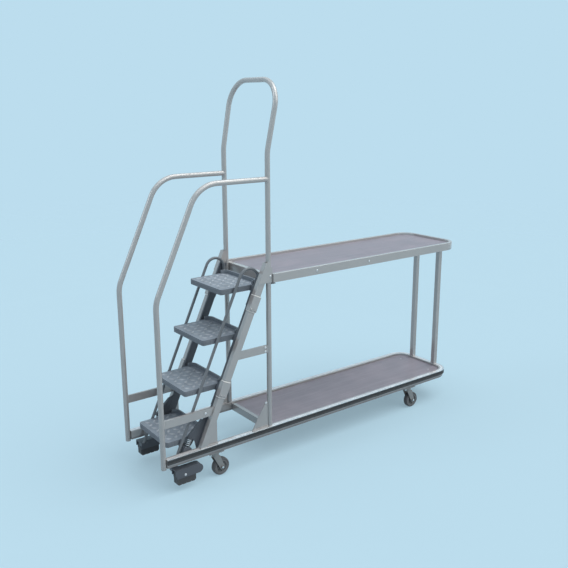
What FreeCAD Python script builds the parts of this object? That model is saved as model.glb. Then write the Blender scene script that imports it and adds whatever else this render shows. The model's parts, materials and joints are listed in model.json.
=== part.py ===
import FreeCAD, Part
import math
import os

# Order picking trolley: a long wheeled deck with a shelf above it, and a sprung step ladder with
# handrails at one end. Sizes are in millimetres. X runs along the trolley from the push hoop's plane
# towards the round end of the deck, Y across it, Z up from the floor. Finished pieces are moved so
# that the origin lies on the floor under the middle of the trolley.

# Tubes, bars and fits
tube_d = 28.0
tube_wall = 2.0
bar_h = 44.0
bar_t = 12.0
plate_t = 4.0
weld_gap = 0.3
running_fit = 0.05
bolt_r = 6.5
bolt_h = 3.5

# Deck
rail_w = 28.0
rail_h = 50.0
rail_wall = 2.5
deck_end = 1500.0
deck_corner_r = 95.0
board_t = 12.0
deck_recess = 12.0
bumper_t = 8.0
bumper_h = 28.0
bumper_rib_h = 10.0
bumper_base_t = 4.0
lip_t = 2.0
front_member_x = 8.0
front_member_w = 24.0
front_member_drop = 8.0
joist_w = 60.0
joist_wall = 4.0
joist_x = (330.0, 730.0)
deck_bolt_back = 102.0
deck_bolt_inset = 66.0

# Push hoop
hoop_top = 2080.0
hoop_bend_drop = 360.0
hoop_lean = 71.0
hoop_splay = 11.5
hoop_bend_r = 240.0
hoop_corner_r = 136.0

# Handrails
handrail_ahead = 48.0
handrail_foot_drop = 5.0
handrail_bend_drop = 54.0
handrail_drop = 499.0
handrail_r = 165.0
brace_rise = 189.0
tie_below = 61.0
gusset_l = 67.0
post_gusset_l = 108.0
post_gusset_h = 152.0

# Shelf
shelf_rise = 59.0
shelf_overhang = 14.0
shelf_face = 48.0
shelf_edge_w = 20.0
shelf_edge_wall = 2.0
shelf_corner_r = 100.0
shelf_recess = 14.0
shelf_front_h = 46.0
shelf_front_w = 30.0
rear_post_inset = 28.5
shelf_screw_x = (315.0, 712.0)
corner_tip = 62.0
corner_rise = 32.0
corner_shoulder = 6.0

# Ladder
tread_rise = 254.0
tread_run = 117.0
tread_count = 4
tread_nose_ahead = 71.0
tread_first_rise = 59.0
tread_depth = 239.0
tread_half = 160.0
tread_skirt = 29.0
tread_wall = 4.0
tread_front_r = 14.0
tread_back_r = 38.0
curb_h = 20.0
curb_t = 9.0
grip_pitch = 41.0
grip_length = 46.0
grip_width = 19.0
grip_h = 2.5
rib_t = 3.0
bracket_t = 19.4
hanger_t = 6.0
hanger_drop = 72.0
hanger_reach = 22.0
hanger_r = 26.0
stringer_tip_ahead = 25.0
stringer_w = 40.0
stringer_wall = 2.5
slide_gap = 2.0
ladder_stringer_t = 12.0
ladder_stringer_wall = 2.0
ladder_stringer_rise = 5.0
ladder_stringer_drop = 10.0
rod_d = 16.0
rod_ahead = 30.0
rod_clear = 2.0
loop_drop = 2.0
loop_r = 60.0
sleeve_length = 84.0
sleeve_t = 2.5
sleeve_clear = 16.5
sleeve_drop = 142.0
sleeve_lap = 0.2
liner_t = 1.7
liner_proud = 4.0
slide_travel = 40.0

# Springs under the ladder
spring_ahead = 66.2
spring_rise = 37.0
spring_inset = 16.0
spring_d = 26.0
wire_d = 3.2
spring_turns = 6
spring_below = 53.0
spring_above = 22.0
spring_end_gap = 0.9
cup_wall = 5.0
cup_clear = 1.5
seat_t = 5.0
press_h = 90.0
press_foot = 6.0

# Feet
foot_length = 162.0
foot_w = 46.0
foot_drop = 25.0
foot_clear = 1.7
shoe_h = 49.0
shoe_t = 4.0
pad_length = 112.0
foot_arm_x = 38.0
foot_arm_h = 18.0

# Casters
caster_inset = 16.0
caster_front = 312.0
caster_rear = 373.0
caster_offset = 36.0
wheel_d = 100.0
wheel_clear = 22.7
wheel_w = 32.0
rim_d = 74.0
hub_w = 36.0
axle_d = 12.0
caster_plate_l = 90.0
caster_plate_w = 60.0
caster_plate_t = 6.0
race_d = 52.0
race_h = 6.0
crown_h = 15.0
kingpin_d = 16.0
kingpin_head_d = 24.0
fork_t = 4.0
fork_gap = 1.0
fork_boss_r = 14.0
tyre_fit = 0.15

# Worked out from the sizes above: slopes
V = FreeCAD.Vector
slope = tread_rise / tread_run
incline = math.atan2(tread_rise, tread_run)
up_slope = V(math.cos(incline), 0, math.sin(incline))
across_slope = V(math.sin(incline), 0, -math.cos(incline))
tube_r = tube_d / 2

# Heights, from the wheels up
rail_bottom = wheel_d + wheel_clear + crown_h + weld_gap + race_h + caster_plate_t
rail_top = rail_bottom + rail_h
board_top = rail_top - deck_recess
tread_first_z = rail_top + tread_first_rise
tread_last_z = tread_first_z + (tread_count - 1) * tread_rise
shelf_top = tread_last_z + shelf_rise
shelf_front_top = shelf_top - shelf_recess
stringer_tip_z = shelf_top + corner_tip
hoop_bend_z = hoop_top - hoop_bend_drop
handrail_top = hoop_top - handrail_drop
handrail_bend_z = shelf_top - handrail_bend_drop
handrail_foot = rail_bottom - handrail_foot_drop
brace_z = rail_top + brace_rise
ladder_stringer_top = shelf_top + ladder_stringer_rise
ladder_stringer_foot = rail_top - ladder_stringer_drop
loop_start_z = shelf_top - loop_drop
sleeve_room = (sleeve_length / 2 + slide_travel) * math.sin(incline)
sleeve_z = (brace_z + bar_h / 2 + sleeve_room + sleeve_clear, shelf_top - sleeve_drop)
tie_z = (sleeve_z[0] + sleeve_z[1]) / 2 - tie_below
spring_z = rail_top + spring_rise
foot_top = rail_bottom - foot_drop
pad_bottom = slide_travel * math.sin(incline) + foot_clear

# Places along the trolley
stringer_x = -stringer_tip_ahead - stringer_tip_z / slope
tread_nose_x = stringer_x - tread_nose_ahead
rod_x = tread_nose_x - rod_ahead
handrail_x = tread_nose_x - handrail_ahead
spring_x = stringer_x + spring_z / slope - spring_ahead
foot_front_x = rod_x + foot_top / slope - foot_arm_x / 2
caster_x = (handrail_x + caster_front, deck_end - caster_rear)
shelf_end = deck_end + bumper_t
deck_bolt_x = deck_end - deck_bolt_back
front_reach = tube_r - handrail_x
rear_reach = max(deck_end + bumper_t, shelf_end)
origin_shift = (front_reach - rear_reach) / 2

# Places across it, from the treads out
ladder_in = tread_half + bracket_t + 2 * weld_gap
ladder_out = ladder_in + ladder_stringer_t
rail_in = ladder_out + slide_gap
post_y = rail_in + rail_w / 2
rail_out = rail_in + rail_w
deck_out = rail_out + bumper_t
shelf_half = rail_out + shelf_overhang
rear_post_y = rail_out - deck_corner_r - rear_post_inset
deck_bolt_y = rail_in - deck_bolt_inset
caster_y = post_y - caster_inset
rod_y = tread_half + rod_clear + rod_d / 2
spring_y = rail_in - spring_inset
ladder_stringer_w = stringer_w + 2 * (liner_t + weld_gap - sleeve_lap)
ladder_gap = (ladder_stringer_w - stringer_w) / 2 / math.sin(incline) + weld_gap
SIDES = {"near": -1, "far": 1}


def save(name, *solids):
    """Write one piece, or a group of like pieces, moved to the trolley's own origin."""
    shape = solids[0] if len(solids) == 1 else Part.makeCompound(list(solids))
    shape = shape.copy()
    shape.translate(V(origin_shift, 0, 0))
    shape.exportStep("parts/" + name + ".step")


def box(x, y, z):
    """A block between the two ends given for each axis."""
    return Part.makeBox(x[1] - x[0], y[1] - y[0], z[1] - z[0], V(x[0], y[0], z[0]))


def square_bar(centre, half, z):
    """An upright square bar about a centre."""
    x, y = centre
    return box((x - half, x + half), (y - half, y + half), z)


def mirrored(shape, side):
    """The far side's piece as drawn, or its mirror image on the near side."""
    return shape if side > 0 else shape.mirror(V(0, 0, 0), V(0, 1, 0))


def plate(points, y):
    """A flat piece with the outline given in X and Z, between two places across the trolley."""
    corners = [V(px, y[0], pz) for px, pz in points]
    face = Part.Face(Part.makePolygon(corners + corners[:1]))
    return face.extrude(V(0, y[1] - y[0], 0))


def bar_between(p, q, width, y):
    """A straight bar along the line p to q, as wide as given square to that line."""
    along = (q - p).normalize()
    half = V(along.z, 0, -along.x) * (width / 2)
    ends = [p + half, q + half, q - half, p - half]
    return plate([(e.x, e.z) for e in ends], y)


def bent_wire(points, radius):
    """Straight runs through the points, joined by tangent arcs."""
    edges = []
    start = points[0]
    for before, corner, after in zip(points, points[1:], points[2:]):
        a = (before - corner).normalize()
        b = (after - corner).normalize()
        half = a.getAngle(b) / 2
        reach = radius / math.tan(half)
        bisector = (a + b).normalize()
        middle = corner + bisector * (radius / math.sin(half) - radius)
        edges.append(Part.LineSegment(start, corner + a * reach).toShape())
        edges.append(Part.Arc(corner + a * reach, middle, corner + b * reach).toShape())
        start = corner + b * reach
    edges.append(Part.LineSegment(start, points[-1]).toShape())
    return Part.Wire(edges)


def swept(path, radius):
    """A round bar of the given radius along a path."""
    first = path.OrderedEdges[0]
    start = first.valueAt(first.FirstParameter)
    ahead = first.tangentAt(first.FirstParameter)
    ring = Part.Wire(Part.makeCircle(radius, start, ahead))
    return path.makePipeShell([ring], True, False)


def bent_tube(points, radius):
    """A hollow tube of the frame's size along straight runs and bends."""
    path = bent_wire(points, radius)
    return swept(path, tube_r).cut(swept(path, tube_r - tube_wall))


def u_face(x0, x1, half, radius):
    """A flat outline with a straight front end and two rounded corners at the other end."""
    turn = radius * (1 - math.sqrt(0.5))
    a = V(x1 - radius, -half, 0)
    b = V(x1, radius - half, 0)
    c = V(x1, half - radius, 0)
    d = V(x1 - radius, half, 0)
    edges = [
        Part.LineSegment(V(x0, -half, 0), a).toShape(),
        Part.Arc(a, V(x1 - turn, turn - half, 0), b).toShape(),
        Part.LineSegment(b, c).toShape(),
        Part.Arc(c, V(x1 - turn, half - turn, 0), d).toShape(),
        Part.LineSegment(d, V(x0, half, 0)).toShape(),
        Part.LineSegment(V(x0, half, 0), V(x0, -half, 0)).toShape(),
    ]
    return Part.Face(Part.Wire(edges))


def u_slab(x0, x1, half, radius, z):
    """The outline of u_face with a thickness."""
    face = u_face(x0, x1, half, radius)
    face.translate(V(0, 0, z[0]))
    return face.extrude(V(0, 0, z[1] - z[0]))


def u_band(x0, x1, half, radius, width, z):
    """A band along both sides and the round end, open at the front."""
    inside = u_slab(x0 - width, x1 - width, half - width, radius - width, z)
    return u_slab(x0, x1, half, radius, z).cut(inside)


def u_tube(x0, x1, half, radius, width, wall, z):
    """A rectangular tube bent along both sides and the round end, capped at its front ends."""
    hollow = (z[0] + wall, z[1] - wall)
    bore = u_band(x0 + wall, x1 - wall, half - wall, radius - wall, width - 2 * wall, hollow)
    return u_band(x0, x1, half, radius, width, z).cut(bore)


def post_cylinder(x, y, z, clearance):
    """The room that an upright tube takes up, for coping what is welded to it."""
    return Part.makeCylinder(tube_r + clearance, z[1] - z[0], V(x, y, z[0]))


def bolt_head(point, direction):
    """A low domed bolt head seated on a face."""
    rim = bolt_h * 0.45
    crown = Part.makeCone(bolt_r * 0.94, bolt_r * 0.45, bolt_h - rim, point + direction * rim, direction)
    return Part.makeCylinder(bolt_r, rim, point, direction).fuse(crown).removeSplitter()


def stringer_edge(z):
    """Where the fixed stringer's front edge is at a height."""
    return stringer_x + z / slope


def stringer_centre(z):
    """A point on the stringers' centre line, level with a height on the front edge."""
    return V(stringer_edge(z), 0, z) + across_slope * (stringer_w / 2)


def on_slope(x0, z):
    """A point at a height on a line that climbs with the ladder from x0 at the floor."""
    return V(x0 + z / slope, 0, z)


# Deck: rail, bumper, board and the members under it
def make_deck():
    front = handrail_x + tube_r + weld_gap
    rail_z = (rail_bottom, rail_top)
    save("deck_rail", u_tube(front, deck_end, rail_out, deck_corner_r, rail_w, rail_wall, rail_z))

    band_end = deck_end + bumper_t
    band_r = deck_corner_r + bumper_t
    lip_z = (rail_top - lip_t, rail_top)
    save("bumper_lip", u_band(front, band_end, deck_out, band_r, bumper_t, lip_z))

    top = rail_top - lip_t
    low = top - bumper_h
    base_inset = bumper_t - bumper_base_t
    base_half = deck_out - base_inset
    strip = u_band(front, band_end - base_inset, base_half, band_r - base_inset, bumper_base_t, (low, top))
    for z in (low, top - bumper_rib_h):
        rib = u_band(front, band_end, deck_out, band_r, bumper_t, (z, z + bumper_rib_h))
        strip = strip.fuse(rib)
    save("bumper_strip", strip.removeSplitter())

    inner_end = deck_end - rail_w - weld_gap
    inner_half = rail_in - weld_gap
    board_x = front_member_x + front_member_w + weld_gap
    board_z = (board_top - board_t, board_top)
    board = u_slab(board_x, inner_end, inner_half, deck_corner_r - rail_w, board_z)
    for side in SIDES.values():
        seat = V(deck_bolt_x, side * deck_bolt_y, board_top - bolt_h)
        board = board.cut(Part.makeCylinder(bolt_r + weld_gap, bolt_h, seat))
    save("deck_board", board)

    member_z = (rail_bottom, rail_top - front_member_drop)
    member_x = (front_member_x, front_member_x + front_member_w)
    member = box(member_x, (-inner_half, inner_half), member_z)
    hollow_x = (member_x[0] + joist_wall, member_x[1] + joist_wall)
    hollow_z = (member_z[0] + joist_wall, member_z[1] - joist_wall)
    save("deck_front_member", member.cut(box(hollow_x, (-inner_half, inner_half), hollow_z)))

    joists = []
    for x in (caster_x[0], *joist_x, caster_x[1]):
        top_z = board_top - board_t - weld_gap
        outer = box((x - joist_w / 2, x + joist_w / 2), (-inner_half, inner_half), (rail_bottom, top_z))
        inner_w = joist_w / 2 - joist_wall
        inner = box((x - inner_w, x + inner_w), (-inner_half, inner_half), (rail_bottom, top_z - joist_wall))
        joists.append(outer.cut(inner))
    save("under_deck_joists", *joists)


# Push hoop, handrails and what ties them to the deck
def make_hoop():
    leg = V(0, post_y, rail_top + weld_gap)
    bend = V(0, post_y, hoop_bend_z)
    corner = V(hoop_lean, post_y + hoop_splay, hoop_top)
    across = [V(p.x, -p.y, p.z) for p in (corner, bend, leg)]
    points = [leg, bend, corner] + across
    path = hoop_wire(points)
    save("push_hoop", swept(path, tube_r).cut(swept(path, tube_r - tube_wall)))


def hoop_wire(points):
    """The hoop's centre line: gentle bends in the legs and wide corners at the top."""
    middle = (points[2] + points[3]) * 0.5
    half = []
    for ends in ((points[0], points[1]), (points[5], points[4])):
        corner = points[2] if ends[0].y > 0 else points[3]
        knee = (ends[1] + corner) * 0.5
        lower = bent_wire([ends[0], ends[1], knee], hoop_bend_r)
        upper = bent_wire([knee, corner, middle], hoop_corner_r)
        half.append(lower.OrderedEdges + upper.OrderedEdges)
    return Part.Wire(Part.__sortEdges__(half[0] + half[1]))


def make_handrails():
    upper_x = handrail_x + (handrail_top - handrail_bend_z) / slope
    for name, side in SIDES.items():
        y = side * post_y
        points = [
            V(handrail_x, y, handrail_foot + tube_wall),
            V(handrail_x, y, handrail_bend_z),
            V(upper_x, y, handrail_top),
            V(0, y, handrail_top),
        ]
        rail = bent_tube(points, handrail_r)
        cap = Part.makeCylinder(tube_r, tube_wall, V(handrail_x, y, handrail_foot))
        leg_room = post_cylinder(0, y, (handrail_top - tube_d, handrail_top + tube_d), weld_gap)
        behind = box((0, tube_d), (y - tube_d, y + tube_d), (handrail_top - tube_d, handrail_top + tube_d))
        save("handrail_" + name, rail.fuse(cap).removeSplitter().cut(leg_room).cut(behind))


def make_side_bars():
    y = (post_y - bar_t / 2, post_y + bar_t / 2)
    for name, side in SIDES.items():
        low = brace_z - bar_h / 2
        high = brace_z + bar_h / 2
        edge = [stringer_edge(z) - weld_gap for z in (low, high)]
        brace = plate([(handrail_x, low), (edge[0], low), (edge[1], high), (handrail_x, high)], y)
        room = post_cylinder(handrail_x, post_y, (low - bar_h, high + bar_h), weld_gap)
        behind = box((handrail_x - tube_d, handrail_x), y, (low, high))
        save("brace_" + name, mirrored(brace.cut(room).cut(behind), side))

        low = tie_z - bar_h / 2
        high = tie_z + bar_h / 2
        width = stringer_w / math.sin(incline) + weld_gap
        edge = [stringer_edge(z) + width for z in (low, high)]
        tie = plate([(edge[0], low), (0, low), (0, high), (edge[1], high)], y)
        room = post_cylinder(0, post_y, (low - bar_h, high + bar_h), weld_gap)
        save("tie_bar_" + name, mirrored(tie.cut(room), side))


# Fixed stringers, which the ladder slides along, with their gussets and corner plates
def make_stringers():
    tip_z = stringer_tip_z
    run = stringer_w / math.sin(incline)
    for name, side in SIDES.items():
        foot = rail_top + weld_gap
        outline = [
            (stringer_edge(foot), foot),
            (stringer_edge(foot) + run, foot),
            (stringer_edge(tip_z) + run, tip_z),
            (stringer_edge(tip_z), tip_z),
        ]
        stringer = plate(outline, (rail_in, rail_out))
        wall_x = stringer_wall / math.sin(incline)
        bore = [
            (stringer_edge(foot) + wall_x, foot),
            (stringer_edge(foot) + run - wall_x, foot),
            (stringer_edge(tip_z) + run - wall_x, tip_z),
            (stringer_edge(tip_z) + wall_x, tip_z),
        ]
        stringer = stringer.cut(plate(bore, (rail_in + stringer_wall, rail_out - stringer_wall)))
        room = post_cylinder(0, post_y, (foot, tip_z + tube_d), weld_gap)
        behind = box((0, run * 2), (rail_in - 1, rail_out + 1), (foot, tip_z + tube_d))
        save("stringer_" + name, mirrored(stringer.cut(room).cut(behind), side))


def make_gussets():
    run = stringer_w / math.sin(incline)
    foot = rail_top + weld_gap
    heel = stringer_edge(foot) + run + weld_gap
    gussets = []
    post_face = -tube_r - weld_gap
    flange_y = (post_y, rail_out - weld_gap)
    for side in SIDES.values():
        back = heel + gusset_l
        tip = foot + gusset_l * slope
        base = plate([(heel, foot), (back, foot), (back, tip)], (post_y, post_y + plate_t))
        flange = box((heel + plate_t / slope, back), flange_y, (foot, foot + plate_t))
        gussets.append(mirrored(base.fuse(flange).removeSplitter(), side))
        outline = [
            (post_face - post_gusset_l, foot),
            (post_face, foot),
            (post_face, foot + post_gusset_h),
            (post_face - plate_t * 3, foot + post_gusset_h),
        ]
        web = plate(outline, (post_y, post_y + plate_t))
        flange = box((post_face - post_gusset_l, post_face), flange_y, (foot, foot + plate_t))
        room = post_cylinder(0, post_y, (foot, foot + post_gusset_h), weld_gap)
        gussets.append(mirrored(web.fuse(flange).removeSplitter().cut(room), side))
    save("rail_gussets", *gussets)


def make_corner_plates():
    low = shelf_top - shelf_face
    shoulder = shelf_top + corner_shoulder
    outline = [
        (stringer_edge(low), low),
        (tube_r, low),
        (tube_r, shelf_top + corner_rise),
        (stringer_edge(stringer_tip_z), stringer_tip_z),
        (stringer_edge(shoulder), shoulder),
    ]
    y = (rail_out + weld_gap, rail_out + weld_gap + plate_t)
    save("corner_plates", *[mirrored(plate(outline, y), side) for side in SIDES.values()])


# Shelf and its rear posts
def make_shelf():
    x0 = tube_r + weld_gap
    low = shelf_top - shelf_face
    frame = u_tube(x0, shelf_end, shelf_half, shelf_corner_r, shelf_edge_w, shelf_edge_wall, (low, shelf_top))
    inner = shelf_half - shelf_edge_w
    front_z = (shelf_front_top - shelf_front_h, shelf_front_top)
    front = box((x0, x0 + shelf_front_w), (-inner, inner), front_z)
    hollow_z = (front_z[0] + tube_wall, front_z[1] - tube_wall)
    hollow = box((x0 + tube_wall, x0 + shelf_front_w), (-inner, inner), hollow_z)
    frame = frame.fuse(front.cut(hollow))
    board_low = shelf_top - shelf_recess - board_t
    for x in (*joist_x, caster_x[1]):
        bearer = box((x - joist_w / 2, x + joist_w / 2), (-inner, inner), (low, board_low - weld_gap))
        frame = frame.fuse(bearer)
    save("shelf_frame", frame.removeSplitter())

    half = inner - weld_gap
    end = shelf_end - shelf_edge_w - weld_gap
    board_x = x0 + shelf_front_w + weld_gap
    board_z = (board_low, board_low + board_t)
    save("shelf_board", u_slab(board_x, end, half, shelf_corner_r - shelf_edge_w, board_z))

    for name, side in SIDES.items():
        centre = (deck_end - rail_w / 2, side * rear_post_y)
        height = (rail_top + weld_gap, low - weld_gap)
        post = square_bar(centre, tube_r, height)
        save("rear_post_" + name, post.cut(square_bar(centre, tube_r - tube_wall, height)))


# Treads of the ladder
def tread_outline(x0, x1, half, front_r, back_r):
    """A tread seen from above, with tight front corners and wide back corners."""
    corners = [(x0, -half, front_r), (x1, -half, back_r), (x1, half, back_r), (x0, half, front_r)]
    start = V((x0 + x1) / 2, -half, 0)
    points = [V(x, y, 0) for x, y, r in corners]
    edges = []
    cursor = start
    order = [1, 2, 3, 0]
    for place, index in enumerate(order):
        corner = points[index]
        radius = corners[index][2]
        after = points[order[(place + 1) % 4]] if place < 3 else start
        before = cursor
        a = (before - corner).normalize()
        b = (after - corner).normalize()
        middle = corner + (a + b).normalize() * (radius * (math.sqrt(2) - 1))
        edges.append(Part.LineSegment(cursor, corner + a * radius).toShape())
        edges.append(Part.Arc(corner + a * radius, middle, corner + b * radius).toShape())
        cursor = corner + b * radius
    edges.append(Part.LineSegment(cursor, start).toShape())
    return Part.Wire(edges)


def tread_slab(x0, x1, half, front_r, back_r, z):
    """A tread's outline with a thickness."""
    face = Part.Face(tread_outline(x0, x1, half, front_r, back_r))
    face.translate(V(0, 0, z[0]))
    return face.extrude(V(0, 0, z[1] - z[0]))


def make_tread(index):
    """A moulded step: a ribbed shell with a raised back curb and slanting grip bars on top."""
    x0 = tread_nose_x + index * tread_run
    x1 = x0 + tread_depth
    top = tread_first_z + index * tread_rise
    low = top - tread_skirt
    step = tread_slab(x0, x1, tread_half, tread_front_r, tread_back_r, (low, top))
    rim = tread_slab(x0, x1, tread_half, tread_front_r, tread_back_r, (low, top + curb_h))
    well_z = (low, top + curb_h)
    well_r = (tread_front_r, tread_back_r - curb_t)
    well = tread_slab(x0 - curb_t, x1 - curb_t, tread_half - curb_t, *well_r, well_z)
    front = box((x0 - 1, x1 - tread_back_r), (-tread_half - 1, tread_half + 1), (low - 1, top + curb_h + 1))
    step = step.fuse(rim.cut(well).cut(front))
    wall = tread_wall
    corner_r = (tread_front_r - wall, tread_back_r - wall)
    hollow = tread_slab(x0 + wall, x1 - wall, tread_half - wall, *corner_r, (low, top - wall))
    for y in (-tread_half / 2, 0, tread_half / 2):
        hollow = hollow.cut(box((x0, x1), (y - rib_t / 2, y + rib_t / 2), (low + wall, top)))
    middle = (x0 + x1) / 2
    rib_x = (middle - rib_t / 2, middle + rib_t / 2)
    hollow = hollow.cut(box(rib_x, (-tread_half, tread_half), (low + wall, top)))
    return step.cut(hollow).fuse(grip_bars(x0, x1, top)).removeSplitter()


def grip_bars(x0, x1, top):
    """Raised bars that lean to one side and the other in turn."""
    rows = int((tread_depth - curb_t - grip_pitch / 2) // grip_pitch)
    columns = int((2 * tread_half - grip_pitch / 2) // grip_pitch)
    bars = []
    for row in range(rows):
        for column in range(columns):
            x = (x0 + x1 - curb_t) / 2 + (row - (rows - 1) / 2) * grip_pitch
            y = (column - (columns - 1) / 2) * grip_pitch
            if x > x1 - tread_back_r and abs(y) > tread_half - tread_back_r:
                continue
            bars.append(grip_bar(x, y, top, 45 if (row + column) % 2 else -45))
    return Part.makeCompound(bars)


def grip_bar(x, y, top, turn):
    """One lozenge bar with sloping sides."""
    def outline(length, width, z):
        ends = [V(length / 2, 0, z), V(0, width / 2, z), V(-length / 2, 0, z), V(0, -width / 2, z)]
        return Part.makePolygon(ends + ends[:1])
    foot = outline(grip_length, grip_width, 0)
    crest = outline(grip_length * 0.8, grip_width * 0.6, grip_h)
    bar = Part.makeLoft([foot, crest], True, True)
    bar.rotate(V(0, 0, 0), V(0, 0, 1), turn)
    bar.translate(V(x, y, top))
    return bar


def make_treads():
    for index in range(tread_count):
        save("tread_%d" % (index + 1), make_tread(index))


# Ladder frame: stringers, rods, brackets and the sleeves that run on the fixed stringers
def make_ladder_frame():
    for name, side in SIDES.items():
        foot = stringer_centre(ladder_stringer_foot)
        top = stringer_centre(ladder_stringer_top)
        y = (ladder_in, ladder_out)
        stringer = bar_between(foot, top, ladder_stringer_w, y)
        inside = (ladder_in + ladder_stringer_wall, ladder_out - ladder_stringer_wall)
        bore = bar_between(foot, top, ladder_stringer_w - 2 * ladder_stringer_wall, inside)
        save("ladder_stringer_" + name, mirrored(stringer.cut(bore), side))

        low = on_slope(rod_x, foot_top + weld_gap)
        save("ladder_rod_" + name, mirrored(ladder_rod(low), side))


def ladder_rod(low):
    """The rod beside the treads, bent over into a hand loop at its top."""
    y = V(0, rod_y, 0)
    turn = on_slope(rod_x, loop_start_z)
    centre = turn + across_slope * loop_r
    apex = centre + V(0, 0, loop_r)
    down = centre + V(loop_r, 0, 0)
    bracket_top = tread_last_z + weld_gap
    start = low - up_slope * rod_d
    path = Part.Wire([
        Part.LineSegment(start + y, turn + y).toShape(),
        Part.Arc(turn + y, apex + y, down + y).toShape(),
        Part.LineSegment(down + y, V(down.x, rod_y, bracket_top)).toShape(),
    ])
    room_x = (start.x - rod_d * 2, low.x + rod_d * 2)
    below = box(room_x, (rod_y - rod_d, rod_y + rod_d), (low.z - rod_d * 2, low.z))
    return swept(path, rod_d / 2).cut(below)


def hanger_outline(low):
    """A plate under a tread above the springs, from the stringer to a rounded corner behind it."""
    run = stringer_w / math.sin(incline)
    foot = low - hanger_drop
    back = stringer_edge(low) + run + hanger_reach
    points = [(stringer_edge(foot), foot), (stringer_edge(foot) + run, foot)]
    for step in range(5):
        angle = math.radians(22.5 * step)
        x = back - hanger_r + hanger_r * math.sin(angle)
        points.append((x, low - hanger_r * math.cos(angle)))
    return points + [(stringer_edge(low), low)]


def make_tread_brackets():
    """Blocks that carry each tread on the stringers, rounded hangers and saddles that hold it to the rods."""
    brackets = []
    y = (tread_half + weld_gap, ladder_in - weld_gap)
    hanger_y = (y[1] - hanger_t, y[1])
    for index in range(tread_count):
        top = tread_first_z + index * tread_rise
        low = top - tread_skirt
        run = stringer_w / math.sin(incline)
        block = plate([
            (stringer_edge(low), low),
            (stringer_edge(low) + run, low),
            (stringer_edge(top) + run, top),
            (stringer_edge(top), top),
        ], y)
        if index > 0:
            block = block.fuse(plate(hanger_outline(low), hanger_y)).removeSplitter()
        centre = on_slope(rod_x, (low + top) / 2)
        half = up_slope * (tread_skirt / 2)
        saddle = bar_between(centre - half, centre + half, rod_d * 1.3, (y[0], rod_y))
        axis = centre - up_slope * tread_skirt + V(0, rod_y, 0)
        groove = Part.makeCylinder(rod_d / 2 + weld_gap, 2 * tread_skirt, axis, up_slope)
        for side in SIDES.values():
            brackets.append(mirrored(block, side))
            brackets.append(mirrored(saddle.cut(groove), side))
    save("tread_brackets", *brackets)


def sleeve_piece(z, gap, thickness, y_out, y_in, length):
    """A U-shaped sleeve round the fixed stringer, open towards the ladder."""
    centre = stringer_centre(z)
    half = up_slope * (length / 2)
    width = stringer_w + 2 * gap
    outer = bar_between(centre - half, centre + half, width + 2 * thickness, (y_in, y_out + thickness))
    inner = bar_between(centre - half * 2, centre + half * 2, width, (y_in, y_out))
    return outer.cut(inner)


def sleeve_notch(wall):
    """The room in front of the ladder's stringer, which the sleeves' front walls stop short of."""
    ends = [on_slope(stringer_edge(0), z) - across_slope * wall for z in (rail_top, shelf_top)]
    return bar_between(ends[0], ends[1], 2 * wall - weld_gap, (ladder_in - weld_gap, rail_in))


def make_sleeves():
    liner_gap = weld_gap
    sleeve_gap = liner_gap + liner_t
    for name, side in SIDES.items():
        sleeves = []
        for z in sleeve_z:
            outer = rail_out + sleeve_gap
            sleeves.append(sleeve_piece(z, sleeve_gap, sleeve_t, outer, ladder_in, sleeve_length))
        notch = sleeve_notch(sleeve_gap + sleeve_t)
        save("guide_sleeves_" + name, *[mirrored(s.cut(notch), side) for s in sleeves])
    liners = []
    for z in sleeve_z:
        length = sleeve_length + 2 * liner_proud
        liner = sleeve_piece(z, liner_gap, liner_t, rail_out + liner_gap, rail_in, length)
        liners += [mirrored(liner, side) for side in SIDES.values()]
    save("sleeve_liners", *liners)


# Springs, the cups on the rail that they stand in and the plates that press on them
def spring_point(distance):
    """A point on the spring's axis, counted up the slope."""
    return V(spring_x, spring_y, spring_z) + up_slope * distance


def helix_point(angle, radius, pitch):
    """A point on the spring's wire, in the spring's own frame."""
    return V(radius * math.cos(angle), radius * math.sin(angle), pitch * angle / (2 * math.pi))


def helix_heading(angle, radius, pitch):
    """The way the spring's wire runs at an angle."""
    return V(-radius * math.sin(angle), radius * math.cos(angle), pitch / (2 * math.pi)).normalize()


def biarc(points, headings):
    """Two arcs that join two points, tangent to a heading at each and to each other."""
    across = points[1] - points[0]
    both = headings[0] + headings[1]
    bend = 2 * (1 - headings[0].dot(headings[1]))
    lean = across.dot(both)
    reach = (math.sqrt(lean ** 2 + bend * across.dot(across)) - lean) / bend
    corners = [points[0] + headings[0] * reach, points[1] - headings[1] * reach]
    join = (corners[0] + corners[1]) * 0.5
    arcs = []
    for a, corner, b in ((points[0], corners[0], join), (join, corners[1], points[1])):
        chord = (a + b) * 0.5
        half = (a - b).Length / 2
        rise = (corner - chord).Length
        sagitta = half * math.tan(math.atan2(rise, half) / 2)
        arcs.append(Part.Arc(a, chord + (corner - chord) * (sagitta / rise), b).toShape())
    return arcs


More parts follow.
